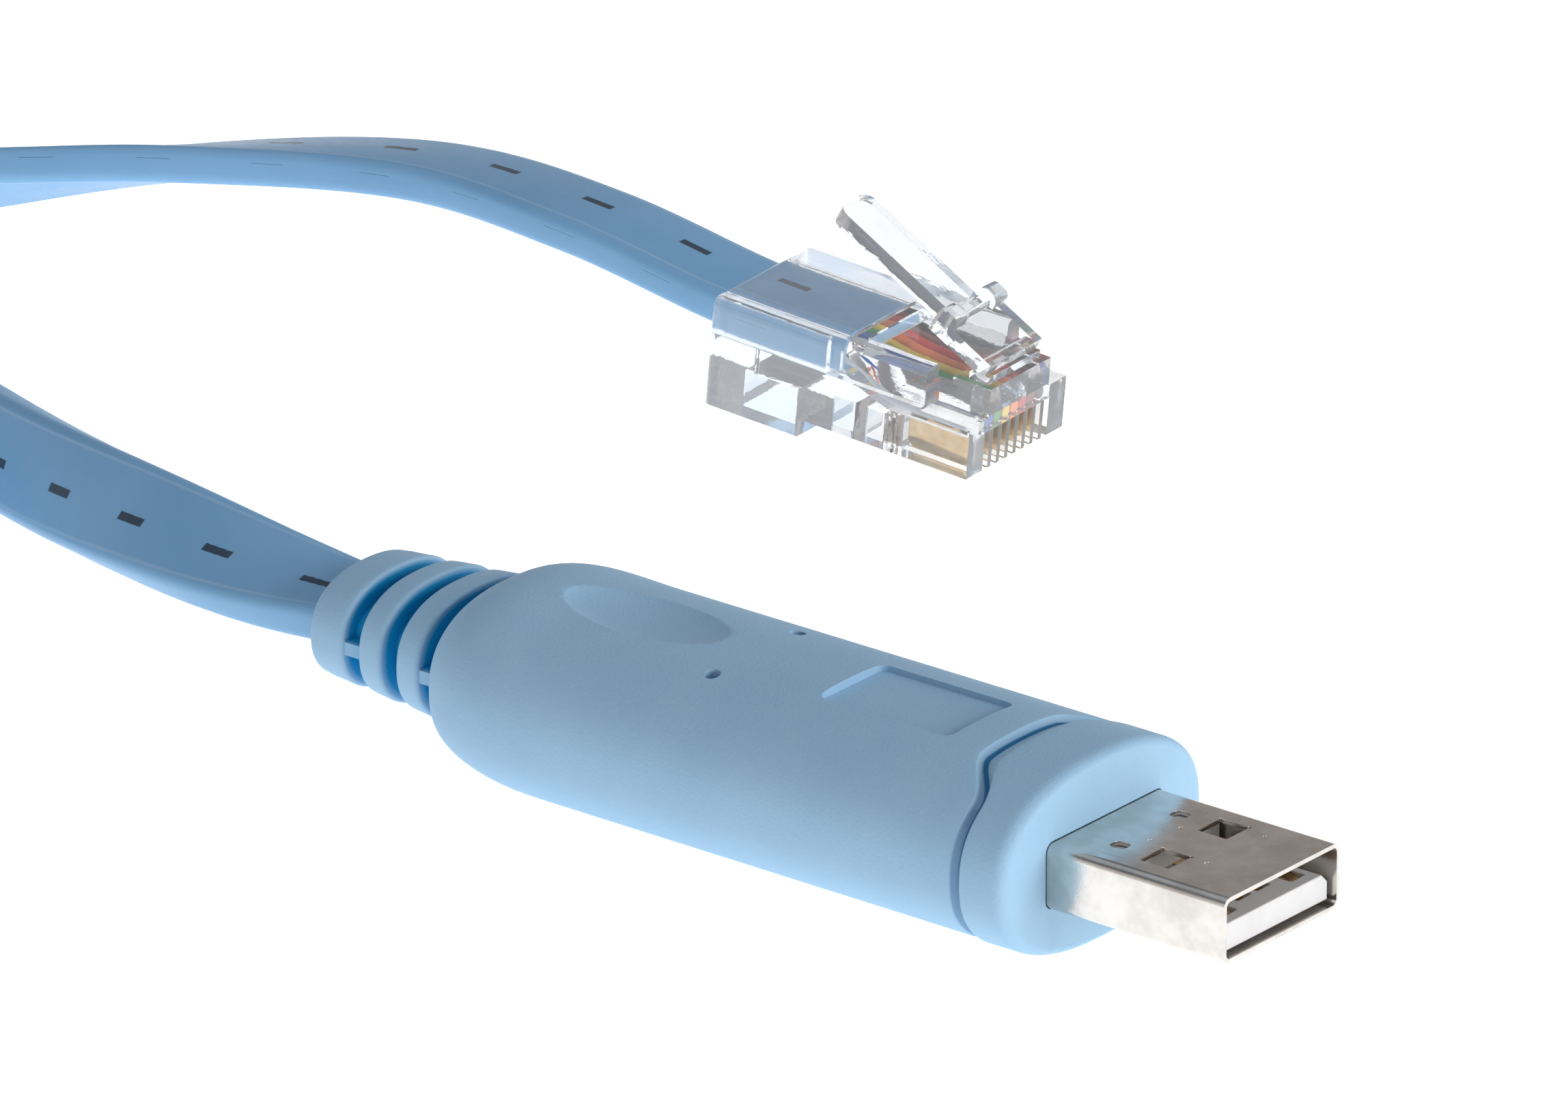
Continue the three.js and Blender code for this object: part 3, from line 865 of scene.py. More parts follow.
for y in CONTACT_Y:
    set_back = OUTER_SET_BACK if abs(y) > 3 * MM else INNER_SET_BACK
    trough = rounded_block(
        "trough",
        (TROUGH_FROM, y - TROUGH_HALF, tongue_high.z - TROUGH_DEEP),
        (tongue_high.x - set_back, y + TROUGH_HALF, tongue_high.z + 1 * MM),
        TROUGH_CORNER, "Z", steps=2,
    )
    carve(usb_tongue, trough)

heel = block(
    "heel",
    (tongue_low.x, tongue_low.y, tongue_low.z + 0.2 * MM),
    (HEEL_END, tongue_high.y, shell_high.z - SHELL_WALL - HEEL_GAP),
)
carve(usb_tongue, heel, "UNION")
soften(usb_tongue, TONGUE_EDGE, 3, 30)
even_normals(usb_tongue)
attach(usb_tongue, "cable")
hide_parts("usb_tongue")
print("the tongue has", len(usb_tongue.data.polygons), "faces")

# %% Contacts
STRIP_THICK = 0.24 * MM
FRONT_DIP = 0.34 * MM
REAR_DIP = 0.2 * MM

for k in range(len(CONTACT_Y)):
    low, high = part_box(f"usb_contact_{k + 1}")
    spring = block(f"usb_contact_strip_{k + 1}", (low.x, low.y, high.z - STRIP_THICK), high)
    bpy.ops.object.mode_set(mode="EDIT")
    bpy.ops.mesh.select_all(action="SELECT")
    bpy.ops.mesh.subdivide(number_cuts=7)
    bpy.ops.object.mode_set(mode="OBJECT")
    for vertex in spring.data.vertices:
        share = (vertex.co.x - low.x) / (high.x - low.x)
        vertex.co.z -= FRONT_DIP * smoothstep(0.86, 1.0, share)
        vertex.co.z -= REAR_DIP * (1 - smoothstep(0.0, 0.6, share))
    soften(spring, 0.05 * MM, 2, 40)
    smooth_shade(spring, 40)
    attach(spring, "cable")
    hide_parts(f"usb_contact_{k + 1}")
print("the tongue ends", round((shell_high.x - tongue_high.x) / MM, 2), "mm inside the shell")

# %% [markdown]
# ## The clear modular plug
# It is moulded in one shot of clear plastic with its latch, so the two are one mesh here. On the real
# plug only the latch bends. An outline extruded sideways would miss the cheeks and rails, which differ
# across the width, so a block is cut down step by step. All of it is made in the plug's own frame,
# whose origin is the middle of the rear bottom edge, and is then laid down on the floor with the
# plug's matrix.

# %% The outside of the plug
HALF = PLUG_WIDTH / 2
NOSE_FROM = 17.4 * MM
NOSE_TOP = 7.2 * MM
CHEEK = 2.2 * MM
CHEEK_SHELF = 5.1 * MM
RAIL_FROM = 9.6 * MM
RAIL_INSET = 0.5 * MM
RAIL_SHELF = 5.3 * MM
RECESS_FROM = 11.6 * MM
RECESS_HALF = 3.9 * MM
RECESS_FLOOR = 6.9 * MM
PLUG_EDGE = 0.24 * MM
BEYOND = PLUG_LONG + MM
BESIDE = HALF + MM
ABOVE = PLUG_HEIGHT + MM

plug = block("rj45_plug", (0, -HALF, 0), (PLUG_LONG, HALF, PLUG_HEIGHT))
carve(plug, block("step", (STEP_AT, -BESIDE, -MM), (BEYOND, BESIDE, PLUG_STEP)))
carve(plug, block("nose_top", (NOSE_FROM, -BESIDE, NOSE_TOP), (BEYOND, BESIDE, ABOVE)))
for side in (-1, 1):
    low, high = sorted((side * (HALF - CHEEK), side * BESIDE))
    carve(plug, block("cheek", (NOSE_FROM, low, CHEEK_SHELF), (BEYOND, high, ABOVE)))
    low, high = sorted((side * (HALF - RAIL_INSET), side * BESIDE))
    rail_end = NOSE_FROM + MM
    carve(plug, block("rail_side", (RAIL_FROM, low, RAIL_SHELF), (rail_end, high, ABOVE)))
carve(plug, block(
    "recess",
    (RECESS_FROM, -RECESS_HALF, RECESS_FLOOR),
    (NOSE_FROM + MM, RECESS_HALF, ABOVE),
))
print("the cut block has", len(plug.data.polygons), "faces")

# %% Round the shoulders and rails
SHOULDER_ROUND = 0.6 * MM
RAIL_ROUND = 0.5 * MM


def round_edges(piece, test, radius, segments=5):
    """Rounds the edges whose middle passes the test."""
    only(piece)
    bpy.ops.object.mode_set(mode="EDIT")
    pick(piece, "EDGE", test)
    bpy.ops.mesh.bevel(offset=radius, segments=segments, affect="EDGES")
    bpy.ops.object.mode_set(mode="OBJECT")


def on_shoulder(m):
    """The rear, side and upright edges of the plug's broad back end."""
    on_top = m.z > PLUG_HEIGHT - TOUCH
    at_side = abs(m.y) > HALF - TOUCH
    at_rear = m.x < TOUCH
    return on_top and (at_side or at_rear) or at_rear and at_side and m.z > MM


def on_rail(m):
    """The two long top edges of each rail beside the recess."""
    along_rail = m.z > PLUG_HEIGHT - TOUCH and RAIL_FROM < m.x < NOSE_FROM
    at_recess = abs(abs(m.y) - RECESS_HALF) < TOUCH
    at_outside = abs(abs(m.y) - HALF + RAIL_INSET) < TOUCH
    return along_rail and (at_recess or at_outside)


round_edges(plug, on_shoulder, SHOULDER_ROUND)
round_edges(plug, on_rail, RAIL_ROUND)
print("with round edges it has", len(plug.data.polygons), "faces")

# %% The latch
LATCH_ROOT = Vector((20.4, 0, 7.5)) * MM
LATCH_LONG = 15.6 * MM
LATCH_THICK = 1.25 * MM
LATCH_BASE_LONG = 5.2 * MM
LATCH_BASE_HALF = 3.1 * MM
LATCH_RISE = math.radians(26)
ARM_HALF = 1.75 * MM
ARM_OVERLAP = 0.6 * MM
ARM_CORNER = 0.9 * MM
EAR_HALF = 0.75 * MM
EAR_END = -3.6 * MM
EAR_HIGH = 0.9 * MM
EAR_CORNER = 0.5 * MM
SADDLE_HALF = 2.2 * MM
SADDLE_HIGH = 0.45 * MM
SADDLE_CORNER = 0.35 * MM
SUNK = 0.2 * MM

latch = block(
    "latch", (-LATCH_BASE_LONG, -LATCH_BASE_HALF, 0), (0, LATCH_BASE_HALF, LATCH_THICK),
)
arm = rounded_block(
    "arm",
    (-LATCH_LONG, -ARM_HALF, 0),
    (-LATCH_BASE_LONG + ARM_OVERLAP, ARM_HALF, LATCH_THICK),
    ARM_CORNER, "Z",
)
carve(latch, arm, "UNION")
for side in (-1, 1):
    y = side * (LATCH_BASE_HALF - EAR_HALF)
    ear = rounded_block(
        "ear",
        (-LATCH_BASE_LONG, y - EAR_HALF, SUNK),
        (EAR_END, y + EAR_HALF, LATCH_THICK + EAR_HIGH),
        EAR_CORNER, "Y",
    )
    carve(latch, ear, "UNION")
saddle = rounded_block(
    "saddle",
    (-5.0 * MM, -SADDLE_HALF, SUNK),
    (-3.9 * MM, SADDLE_HALF, LATCH_THICK + SADDLE_HIGH),
    SADDLE_CORNER, "Y",
)
carve(latch, saddle, "UNION")
latch.matrix_world = Matrix.Translation(LATCH_ROOT) @ Matrix.Rotation(LATCH_RISE, 4, "Y")
settle(latch)
print("the latch rises at", round(math.degrees(LATCH_RISE)), "degrees")

# %% The web at the latch's root
WEB_LOW = (19.3 * MM, -LATCH_BASE_HALF, 6.8 * MM)
WEB_HIGH = (20.9 * MM, LATCH_BASE_HALF, 7.75 * MM)
carve(latch, block("web", WEB_LOW, WEB_HIGH), "UNION")
carve(plug, latch, "UNION")
soften(plug, PLUG_EDGE, 3, 35)
print("with its latch the plug has", len(plug.data.polygons), "faces")

# %% The rooms for the jacket and the wires
WIRE_PITCH = 1.02 * MM
WIRE_RADIUS = 0.46 * MM
WIRE_Z = 4.4 * MM
WIRE_KNEE = 14.2 * MM
WIRE_END = 20.4 * MM
ROOM = 0.3 * MM
WIRE_Y = [(k - 3.5) * WIRE_PITCH for k in range(8)]


def plate(name, outline, wide, y=0.0):
    """A flat outline in the X-Z plane, extruded evenly to both sides of y."""
    data = bpy.data.meshes.new(name)
    data.from_pydata([(x, y - wide / 2, z) for x, z in outline], [], [range(len(outline))])
    piece = bpy.data.objects.new(name, data)
    bpy.context.scene.collection.objects.link(piece)
    only(piece)
    bpy.ops.object.mode_set(mode="EDIT")
    bpy.ops.mesh.select_all(action="SELECT")
    bpy.ops.mesh.extrude_region_move(TRANSFORM_OT_translate={"value": (0, wide, 0)})
    bpy.ops.mesh.select_all(action="SELECT")
    bpy.ops.mesh.normals_make_consistent(inside=False)
    bpy.ops.object.mode_set(mode="OBJECT")
    return piece


JACKET_PLAY = 0.15 * MM
WIRE_PLAY = 0.12 * MM
jacket_half = CABLE_WIDTH / 2 + JACKET_PLAY
jacket_high = CABLE_THICK / 2 + JACKET_PLAY
carve(plug, rounded_block(
    "jacket_room",
    (-MM, -jacket_half, ENTRY_Z - jacket_high),
    (JACKET_END + ROOM, jacket_half, ENTRY_Z + jacket_high),
    0.8 * MM, "X",
))
wire_half = WIRE_RADIUS + WIRE_PLAY
carve(plug, plate("wire_room", [
    (JACKET_END, ENTRY_Z - wire_half),
    (WIRE_KNEE, WIRE_Z - wire_half),
    (WIRE_END + ROOM, WIRE_Z - wire_half),
    (WIRE_END + ROOM, WIRE_Z + wire_half),
    (WIRE_KNEE, WIRE_Z + wire_half),
    (JACKET_END, ENTRY_Z + wire_half + 0.2 * MM),
], 8 * WIRE_PITCH + 0.3 * MM))
print("the wires lie", round(WIRE_PITCH / MM, 2), "mm apart")

# %% The pockets and the contact slots
# Each pocket opens downwards: where it starts, how long and wide it is, and how high it reaches.
POCKETS = (
    (2.2, 4.4, 6.4, 2.6),
    (9.8, 1.8, 8.2, 3.4),
    (12.5, 1.5, 8.2, 3.4),
)
POCKET_CORNER = 0.2 * MM
for start, long, wide, top in POCKETS:
    carve(plug, rounded_block(
        "pocket",
        (start * MM, -wide * MM / 2, -MM),
        ((start + long) * MM, wide * MM / 2, top * MM),
        POCKET_CORNER, "Z", steps=3,
    ))

BLADE_FROM = 15.8 * MM
BLADE_LONG = 4.9 * MM
SLOT_WIDE = 0.62 * MM
for y in WIRE_Y:
    carve(plug, block(
        "contact_slot",
        (BLADE_FROM - ROOM, y - SLOT_WIDE / 2, 0),
        (BEYOND, y + SLOT_WIDE / 2, WIRE_Z - wire_half / 2),
    ))

plug.data.transform(plug_frame)
even_normals(plug, 35)
print("the plug has", len(plug.data.polygons), "faces")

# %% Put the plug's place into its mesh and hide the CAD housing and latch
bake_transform(plug)
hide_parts("rj45_housing", "rj45_latch")

# %% [markdown]
# ## The eight wires and their contact blades
# The wires leave the jacket nearly at its own width and fan out to the pitch of the blades. Bent
# cylinders would pinch at the knee, so each wire is a curve with a round bevel, made a mesh once it
# has its shape. A blade is one stepped plate with two teeth that bite into its wire. It is modelled
# once and copied.

# %% Wires
WIRE_SLOTS = [
    "wire_grey", "wire_blue", "wire_green", "wire_yellow",
    "wire_orange", "wire_red", "wire_brown", "wire_black",
]


def wire(name, points, radius):
    """A round bar along a smooth curve through the points."""
    bpy.ops.object.select_all(action="DESELECT")
    bpy.ops.curve.primitive_nurbs_path_add()
    path = bpy.context.object
    path.name = name
    curve = path.data
    curve.splines.clear()
    spline = curve.splines.new("NURBS")
    spline.points.add(len(points) - 1)
    for place, point in zip(spline.points, points):
        place.co = (*point, 1)
    spline.order_u = 3
    spline.use_endpoint_u = True
    curve.bevel_depth = radius
    curve.bevel_resolution = 5
    curve.resolution_u = 8
    curve.use_fill_caps = True
    bpy.ops.object.convert(target="MESH")
    return bpy.context.object


wires = []
for k, y in enumerate(WIRE_Y):
    near = 0.9 * y
    bulge = 0.12 * MM * math.sin(1.7 * k)
    points = [
        in_plug(JACKET_END - 0.2 * MM, near, ENTRY_Z),
        in_plug(JACKET_END + 0.9 * MM, near, ENTRY_Z - 0.05 * MM + bulge),
        in_plug(JACKET_END + 2.0 * MM, near, ENTRY_Z - 0.6 * MM + bulge),
        in_plug(WIRE_KNEE - 0.6 * MM, y, WIRE_Z + 0.2 * MM),
        in_plug(WIRE_KNEE + 1.2 * MM, y, WIRE_Z),
        in_plug(WIRE_END - 2 * MM, y, WIRE_Z),
        in_plug(WIRE_END, y, WIRE_Z),
    ]
    conductor = smooth_shade(wire(f"wire_{k + 1}", points, WIRE_RADIUS), 50)
    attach(conductor, "cable")
    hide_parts(f"conductor_{k + 1}")
    wires.append(conductor)

# %% Contact blades
BLADE_LOW = 1.55 * MM
BLADE_HIGH = 4.0 * MM
BLADE_THICK = 0.32 * MM
BLADE_EDGE = 0.04 * MM
blade_to = BLADE_FROM + BLADE_LONG
blade_top = BLADE_HIGH - 0.25 * MM
tooth_root = BLADE_HIGH - 0.1 * MM
tooth_tip = BLADE_HIGH + 0.45 * MM

first_blade = plate("blade", [
    (BLADE_FROM, BLADE_LOW + 0.5 * MM),
    (BLADE_FROM + 0.5 * MM, BLADE_LOW),
    (blade_to - 0.25 * MM, BLADE_LOW),
    (blade_to, BLADE_LOW + 0.25 * MM),
    (blade_to, blade_top),
    (blade_to - 0.9 * MM, blade_top),
    (blade_to - 1.2 * MM, tooth_tip),
    (blade_to - 1.5 * MM, tooth_root),
    (blade_to - 3.0 * MM, tooth_root),
    (blade_to - 3.3 * MM, tooth_tip),
    (blade_to - 3.6 * MM, blade_top),
    (BLADE_FROM, blade_top),
], BLADE_THICK)
soften(first_blade, BLADE_EDGE, 2, 30)
smooth_shade(first_blade, 35)

blades = []
for k, y in enumerate(WIRE_Y):
    blade = first_blade.copy()
    blade.data = first_blade.data.copy()
    blade.name = f"blade_{k + 1}"
    bpy.context.scene.collection.objects.link(blade)
    blade.data.transform(plug_frame @ Matrix.Translation((0, y, 0)))
    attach(blade, "cable")
    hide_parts(f"rj45_contact_{k + 1}")
    blades.append(blade)
bpy.data.objects.remove(first_blade)
print(len(wires), "wires and", len(blades), "blades")

# %% [markdown]
# ## Surface effects that several finishes share
# Moulded plastic, cable jacket and plated metal all have a fine grain and slow unevenness, in
# different amounts. Each effect is a node group, built once, with a size and a strength as inputs.
# Its outputs are a height for a Bump node or a mask, so a material decides what they change.


# %% Node group helpers
def new_group(name, inputs, outputs):
    """A shader node group with float inputs (name: default) and float outputs."""
    group = bpy.data.node_groups.new(name, "ShaderNodeTree")
    for title, value in inputs.items():
        socket = group.interface.new_socket(title, in_out="INPUT", socket_type="NodeSocketFloat")
        socket.default_value = value
    for title in outputs:
        group.interface.new_socket(title, in_out="OUTPUT", socket_type="NodeSocketFloat")
    start = group.nodes.new("NodeGroupInput")
    end = group.nodes.new("NodeGroupOutput")
    return group, start, end


def noise(tree, detail, roughness=0.5):
    """A noise texture on the piece's own Object coordinates."""
    place = tree.nodes.new("ShaderNodeTexCoord")
    texture = tree.nodes.new("ShaderNodeTexNoise")
    texture.inputs["Detail"].default_value = detail
    texture.inputs["Roughness"].default_value = roughness
    tree.links.new(place.outputs["Object"], texture.inputs["Vector"])
    return texture


def spread(tree, value, low, high, way="LINEAR"):
    """Stretches the part of a value between low and high to the whole of 0 to 1."""
    node = tree.nodes.new("ShaderNodeMapRange")
    node.interpolation_type = way
    node.inputs["From Min"].default_value = low
    node.inputs["From Max"].default_value = high
    tree.links.new(value, node.inputs["Value"])
    return node.outputs["Result"]


def math_node(tree, operation, *values):
    """A Math node. Each value is a number or the output of another node."""
    node = tree.nodes.new("ShaderNodeMath")
    node.operation = operation
    for socket, value in zip(node.inputs, values):
        if isinstance(value, (int, float)):
            socket.default_value = value
        else:
            tree.links.new(value, socket)
    return node.outputs["Value"]


def product(tree, a, b):
    """Multiplies two values."""
    return math_node(tree, "MULTIPLY", a, b)


# %% Grain, mottle and scuffs
def make_fine_grain():
    """Small even grain, as a spark-worn mould leaves it. Grains per metre and strength."""
    group, start, end = new_group("fine_grain", {"Scale": 5000, "Strength": 1}, ["Height", "Mask"])
    texture = noise(group, 2)
    group.links.new(start.outputs["Scale"], texture.inputs["Scale"])
    mask = spread(group, texture.outputs["Fac"], 0.3, 0.7)
    group.links.new(product(group, mask, start.outputs["Strength"]), end.inputs["Height"])
    group.links.new(mask, end.inputs["Mask"])
    return group


def make_soft_mottle():
    """Slow, soft unevenness of colour or gloss across a surface."""
    group, start, end = new_group("soft_mottle", {"Scale": 150}, ["Mask"])
    texture = noise(group, 3, 0.6)
    group.links.new(start.outputs["Scale"], texture.inputs["Scale"])
    group.links.new(spread(group, texture.outputs["Fac"], 0.35, 0.65), end.inputs["Mask"])
    return group


def make_scuffs():
    """Thin broken scratches that run one way, from noise stretched along X."""
    group, start, end = new_group("scuffs", {"Scale": 900, "Stretch": 0.06}, ["Mask"])
    place = group.nodes.new("ShaderNodeTexCoord")
    stretch = group.nodes.new("ShaderNodeCombineXYZ")
    scale = group.nodes.new("ShaderNodeMapping")
    texture = group.nodes.new("ShaderNodeTexNoise")
    texture.inputs["Detail"].default_value = 4
    group.links.new(start.outputs["Stretch"], stretch.inputs["X"])
    stretch.inputs["Y"].default_value = 1
    stretch.inputs["Z"].default_value = 1
    group.links.new(stretch.outputs["Vector"], scale.inputs["Scale"])
    group.links.new(place.outputs["Object"], scale.inputs["Vector"])
    group.links.new(scale.outputs["Vector"], texture.inputs["Vector"])
    group.links.new(start.outputs["Scale"], texture.inputs["Scale"])
    group.links.new(spread(group, texture.outputs["Fac"], 0.6, 0.72), end.inputs["Mask"])
    return group


fine_grain = make_fine_grain()
soft_mottle = make_soft_mottle()
scuffs = make_scuffs()
print(len(bpy.data.node_groups), "node groups")


# %% Building blocks of a finish
def srgb(red, green, blue):
    """A colour given as it looks on the screen, from 0 to 255, in Blender's linear values."""
    def linear(value):
        value /= 255
        return value / 12.92 if value <= 0.04045 else ((value + 0.055) / 1.055) ** 2.4
    return (linear(red), linear(green), linear(blue), 1)


def new_finish(name, **settings):
    """A material with one Principled BSDF, and the plain values of its sockets."""
    material = bpy.data.materials.new(name)
    material.use_nodes = True
    shader = material.node_tree.nodes["Principled BSDF"]
    for title, value in settings.items():
        shader.inputs[title.replace("_", " ")].default_value = value
    return material, material.node_tree, shader


def effect(tree, group, **values):
    """Places a node group in a material, with its own values."""
    node = tree.nodes.new("ShaderNodeGroup")
    node.node_tree = group
    for title, value in values.items():
        node.inputs[title].default_value = value
    return node


# %% Colour, roughness and bump from a mask
def two_colours(tree, shader, mask, dark, light):
    """Mixes the base colour between two colours by a mask."""
    mix = tree.nodes.new("ShaderNodeMix")
    mix.data_type = "RGBA"
    mix.inputs["A"].default_value = dark
    mix.inputs["B"].default_value = light
    tree.links.new(mask, mix.inputs["Factor"])
    tree.links.new(mix.outputs["Result"], shader.inputs["Base Color"])
    return mix


def overlay(tree, shader, mask, colour):
    """Lays one more colour over the base colour where the mask says so."""
    below = shader.inputs["Base Color"].links[0].from_socket
    mix = tree.nodes.new("ShaderNodeMix")
    mix.data_type = "RGBA"
    mix.inputs["B"].default_value = colour
    tree.links.new(below, mix.inputs["A"])
    tree.links.new(mask, mix.inputs["Factor"])
    tree.links.new(mix.outputs["Result"], shader.inputs["Base Color"])


def rough_between(tree, shader, mask, low, high):
    """Lets the roughness swing between two values by a mask."""
    node = tree.nodes.new("ShaderNodeMapRange")
    node.inputs["To Min"].default_value = low
    node.inputs["To Max"].default_value = high
    tree.links.new(mask, node.inputs["Value"])
    tree.links.new(node.outputs["Result"], shader.inputs["Roughness"])


def bumpy(tree, shader, height, distance):
    """Feeds a height into a Bump node: distance is the height in metres of a full step."""
    bump = tree.nodes.new("ShaderNodeBump")
    bump.inputs["Distance"].default_value = distance
    tree.links.new(height, bump.inputs["Height"])
    tree.links.new(bump.outputs["Normal"], shader.inputs["Normal"])


# %% [markdown]
# ## The finishes
# Each colour was judged against the photograph. The moulding is matt and grainy, and the
# cable's jacket is smoother with a satin gloss. The shell is bright tin plate with faint scuffs. The
# modular plug is clear polycarbonate, a trace milky as moulded plastic is, and light falls through
# its skin on to the wires and the jacket inside it. Painted pictures could carry the tone, but noise
# on Object coordinates has no seams and stays sharp at any distance.

# %% Where painted shade lies in the moulding's grooves
def oval_share(tree, value, half):
    """One term of the oval's formula: it is 1 where the value reaches the half size."""
    share = math_node(tree, "DIVIDE", math_node(tree, "ABSOLUTE", value), half)
    return math_node(tree, "POWER", share, BODY_SQUARE)


def painted_groove_shade_mask(tree):
    """Painted shade: 1 down in the relief's grooves, 0 on the ribs and the body."""
    place = tree.nodes.new("ShaderNodeTexCoord")
    split = tree.nodes.new("ShaderNodeSeparateXYZ")
    tree.links.new(place.outputs["Object"], split.inputs["Vector"])
    half = tree.nodes.new("ShaderNodeMapRange")
    half.inputs["From Min"].default_value = TAIL_X
    half.inputs["From Max"].default_value = FRONT_X - BODY_LONG
    half.inputs["To Min"].default_value = RELIEF_END
    half.inputs["To Max"].default_value = RELIEF_ROOT
    tree.links.new(split.outputs["X"], half.inputs["Value"])
    half_wide = half.outputs["Result"]
    half_high = math_node(tree, "MULTIPLY", half_wide, RELIEF_FLATNESS)
    up = math_node(tree, "SUBTRACT", split.outputs["Z"], relief_z)
    reach = math_node(
        tree, "ADD",
        oval_share(tree, split.outputs["Y"], half_wide), oval_share(tree, up, half_high),
    )
    below_ribs = math_node(tree, "SUBTRACT", 1, spread(tree, reach, 0.74, 0.93))
    behind = math_node(tree, "LESS_THAN", split.outputs["X"], FRONT_X - BODY_LONG)
    not_tail = math_node(tree, "GREATER_THAN", split.outputs["X"], TAIL_X + 1 * MM)
    return product(tree, below_ribs, product(tree, behind, not_tail))


def collar_groove_painted_shade_mask(tree):
    """Painted shade: 1 along the bottom of the wavy groove behind the collar, by the same formula as
    its shape.
    """
    place = tree.nodes.new("ShaderNodeTexCoord")
    split = tree.nodes.new("ShaderNodeSeparateXYZ")
    tree.links.new(place.outputs["Object"], split.inputs["Vector"])
    across = math_node(tree, "DIVIDE", split.outputs["Y"], BODY_HALF)
    up = math_node(tree, "SUBTRACT", split.outputs["Z"], AXIS_Z)
    up = math_node(tree, "DIVIDE", up, BODY_HALF * BODY_FLATNESS)
    up = math_node(tree, "ABSOLUTE", up)
    across = math_node(tree, "ABSOLUTE", across)
    turn = math_node(tree, "ARCTAN2", up, across)
    to_side = spread(tree, math_node(tree, "COSINE", turn), 0.35, 0.75, "SMOOTHSTEP")
    wave = math_node(tree, "MULTIPLY_ADD", to_side, -2 * GROOVE_WAVE, GROOVE_X + GROOVE_WAVE)
    behind = math_node(tree, "SUBTRACT", FRONT_X, split.outputs["X"])
    return stripe(tree, math_node(tree, "SUBTRACT", behind, wave), 0, GROOVE_WIDE / 5, 0.12 * MM)


# %% Where the cable's marks lie, and light through clear plastic
def jacket_place(tree):
    """The distance along the cable and across it, in millimetres, from its UV map."""
    uv = tree.nodes.new("ShaderNodeUVMap")
    uv.uv_map = "cable"
    split = tree.nodes.new("ShaderNodeSeparateXYZ")
    tree.links.new(uv.outputs["UV"], split.inputs["Vector"])
    return split.outputs["X"], split.outputs["Y"]


def stripe(tree, value, middle, half, soft):
    """1 within half a width of a middle value, and a soft fall to 0 beside it."""
    away = math_node(tree, "ABSOLUTE", math_node(tree, "SUBTRACT", value, middle))
    return math_node(tree, "SUBTRACT", 1, spread(tree, away, half, half + soft))


def let_light_in(tree, shader):
    """Lets the light that falls on what is inside a clear piece pass straight through its skin."""
    path = tree.nodes.new("ShaderNodeLightPath")
    window = tree.nodes.new("ShaderNodeBsdfTransparent")
    window.inputs["Color"].default_value = (0.98, 0.985, 0.99, 1)
    mix = tree.nodes.new("ShaderNodeMixShader")
    light_ray = math_node(
        tree, "MAXIMUM", path.outputs["Is Shadow Ray"], path.outputs["Is Diffuse Ray"],
    )
    tree.links.new(light_ray, mix.inputs["Fac"])
    tree.links.new(shader.outputs["BSDF"], mix.inputs[1])
    tree.links.new(window.outputs["BSDF"], mix.inputs[2])
    tree.links.new(mix.outputs["Shader"], tree.nodes["Material Output"].inputs["Surface"])


# %% The moulding's matt plastic
finishes = {}

material, tree, shader = new_finish("blue_moulding_matt", Specular_IOR_Level=0.28)
mottle = effect(tree, soft_mottle, Scale=120)
two_colours(tree, shader, mottle.outputs["Mask"], srgb(150, 187, 214), srgb(155, 191, 217))
# Painted shade: a darker, deeper blue laid into the relief's grooves.
overlay(tree, shader, painted_groove_shade_mask(tree), srgb(6, 146, 200))
# Painted shade: a dark blue line along the bottom of the wavy groove behind the collar.
overlay(tree, shader, collar_groove_painted_shade_mask(tree), srgb(24, 104, 148))
grain = effect(tree, fine_grain, Scale=4200)
rough_between(tree, shader, grain.outputs["Mask"], 0.5, 0.62)
bumpy(tree, shader, grain.outputs["Height"], 0.012 * MM)
finishes["blue_moulding"] = material
print(material.name)

# %% The jacket's satin plastic
# Along and across the cable, in millimetres, with a dash's half length as a share of the pitch.
DASH_PITCH = 8.6
DASH_HALF_LONG = 0.14
DASH_ASIDE = 0.4
DASH_HALF_WIDE = 0.28
# Painted highlight: a light stripe along each long edge of the jacket's faces. Its half width, soft
# fall and strength, in millimetres.
PAINTED_HIGHLIGHT_HALF = 0.02
PAINTED_HIGHLIGHT_SOFT = 0.14
PAINTED_HIGHLIGHT_STRENGTH = 0.45
material, tree, shader = new_finish("blue_jacket_satin", Specular_IOR_Level=0.35)
mottle = effect(tree, soft_mottle, Scale=90)
two_colours(tree, shader, mottle.outputs["Mask"], srgb(122, 170, 208), srgb(128, 175, 213))
along, around = jacket_place(tree)
from_middle = math_node(tree, "PINGPONG", around, LOWER_BAND / 2)
# Painted highlight: a lighter blue laid where each flat face meets its rounded edge.
painted_highlight_at = (CABLE_WIDTH / 2 - EDGE_ROUND) / MM
painted_edge_highlight = stripe(tree, from_middle, painted_highlight_at, PAINTED_HIGHLIGHT_HALF, PAINTED_HIGHLIGHT_SOFT)
painted_edge_highlight = math_node(tree, "MULTIPLY", painted_edge_highlight, PAINTED_HIGHLIGHT_STRENGTH)
overlay(tree, shader, painted_edge_highlight, srgb(168, 200, 224))
dash_at = math_node(tree, "FRACT", math_node(tree, "DIVIDE", along, DASH_PITCH))
dash_long = stripe(tree, dash_at, 0.5, DASH_HALF_LONG, 0.01)
dash_wide = stripe(tree, around, DASH_ASIDE, DASH_HALF_WIDE, 0.06)
overlay(tree, shader, product(tree, dash_long, dash_wide), srgb(52, 70, 88))
grain = effect(tree, fine_grain, Scale=1800)
rough_between(tree, shader, grain.outputs["Mask"], 0.34, 0.42)
bumpy(tree, shader, grain.outputs["Height"], 0.006 * MM)
finishes["cable_jacket"] = material
print(material.name)

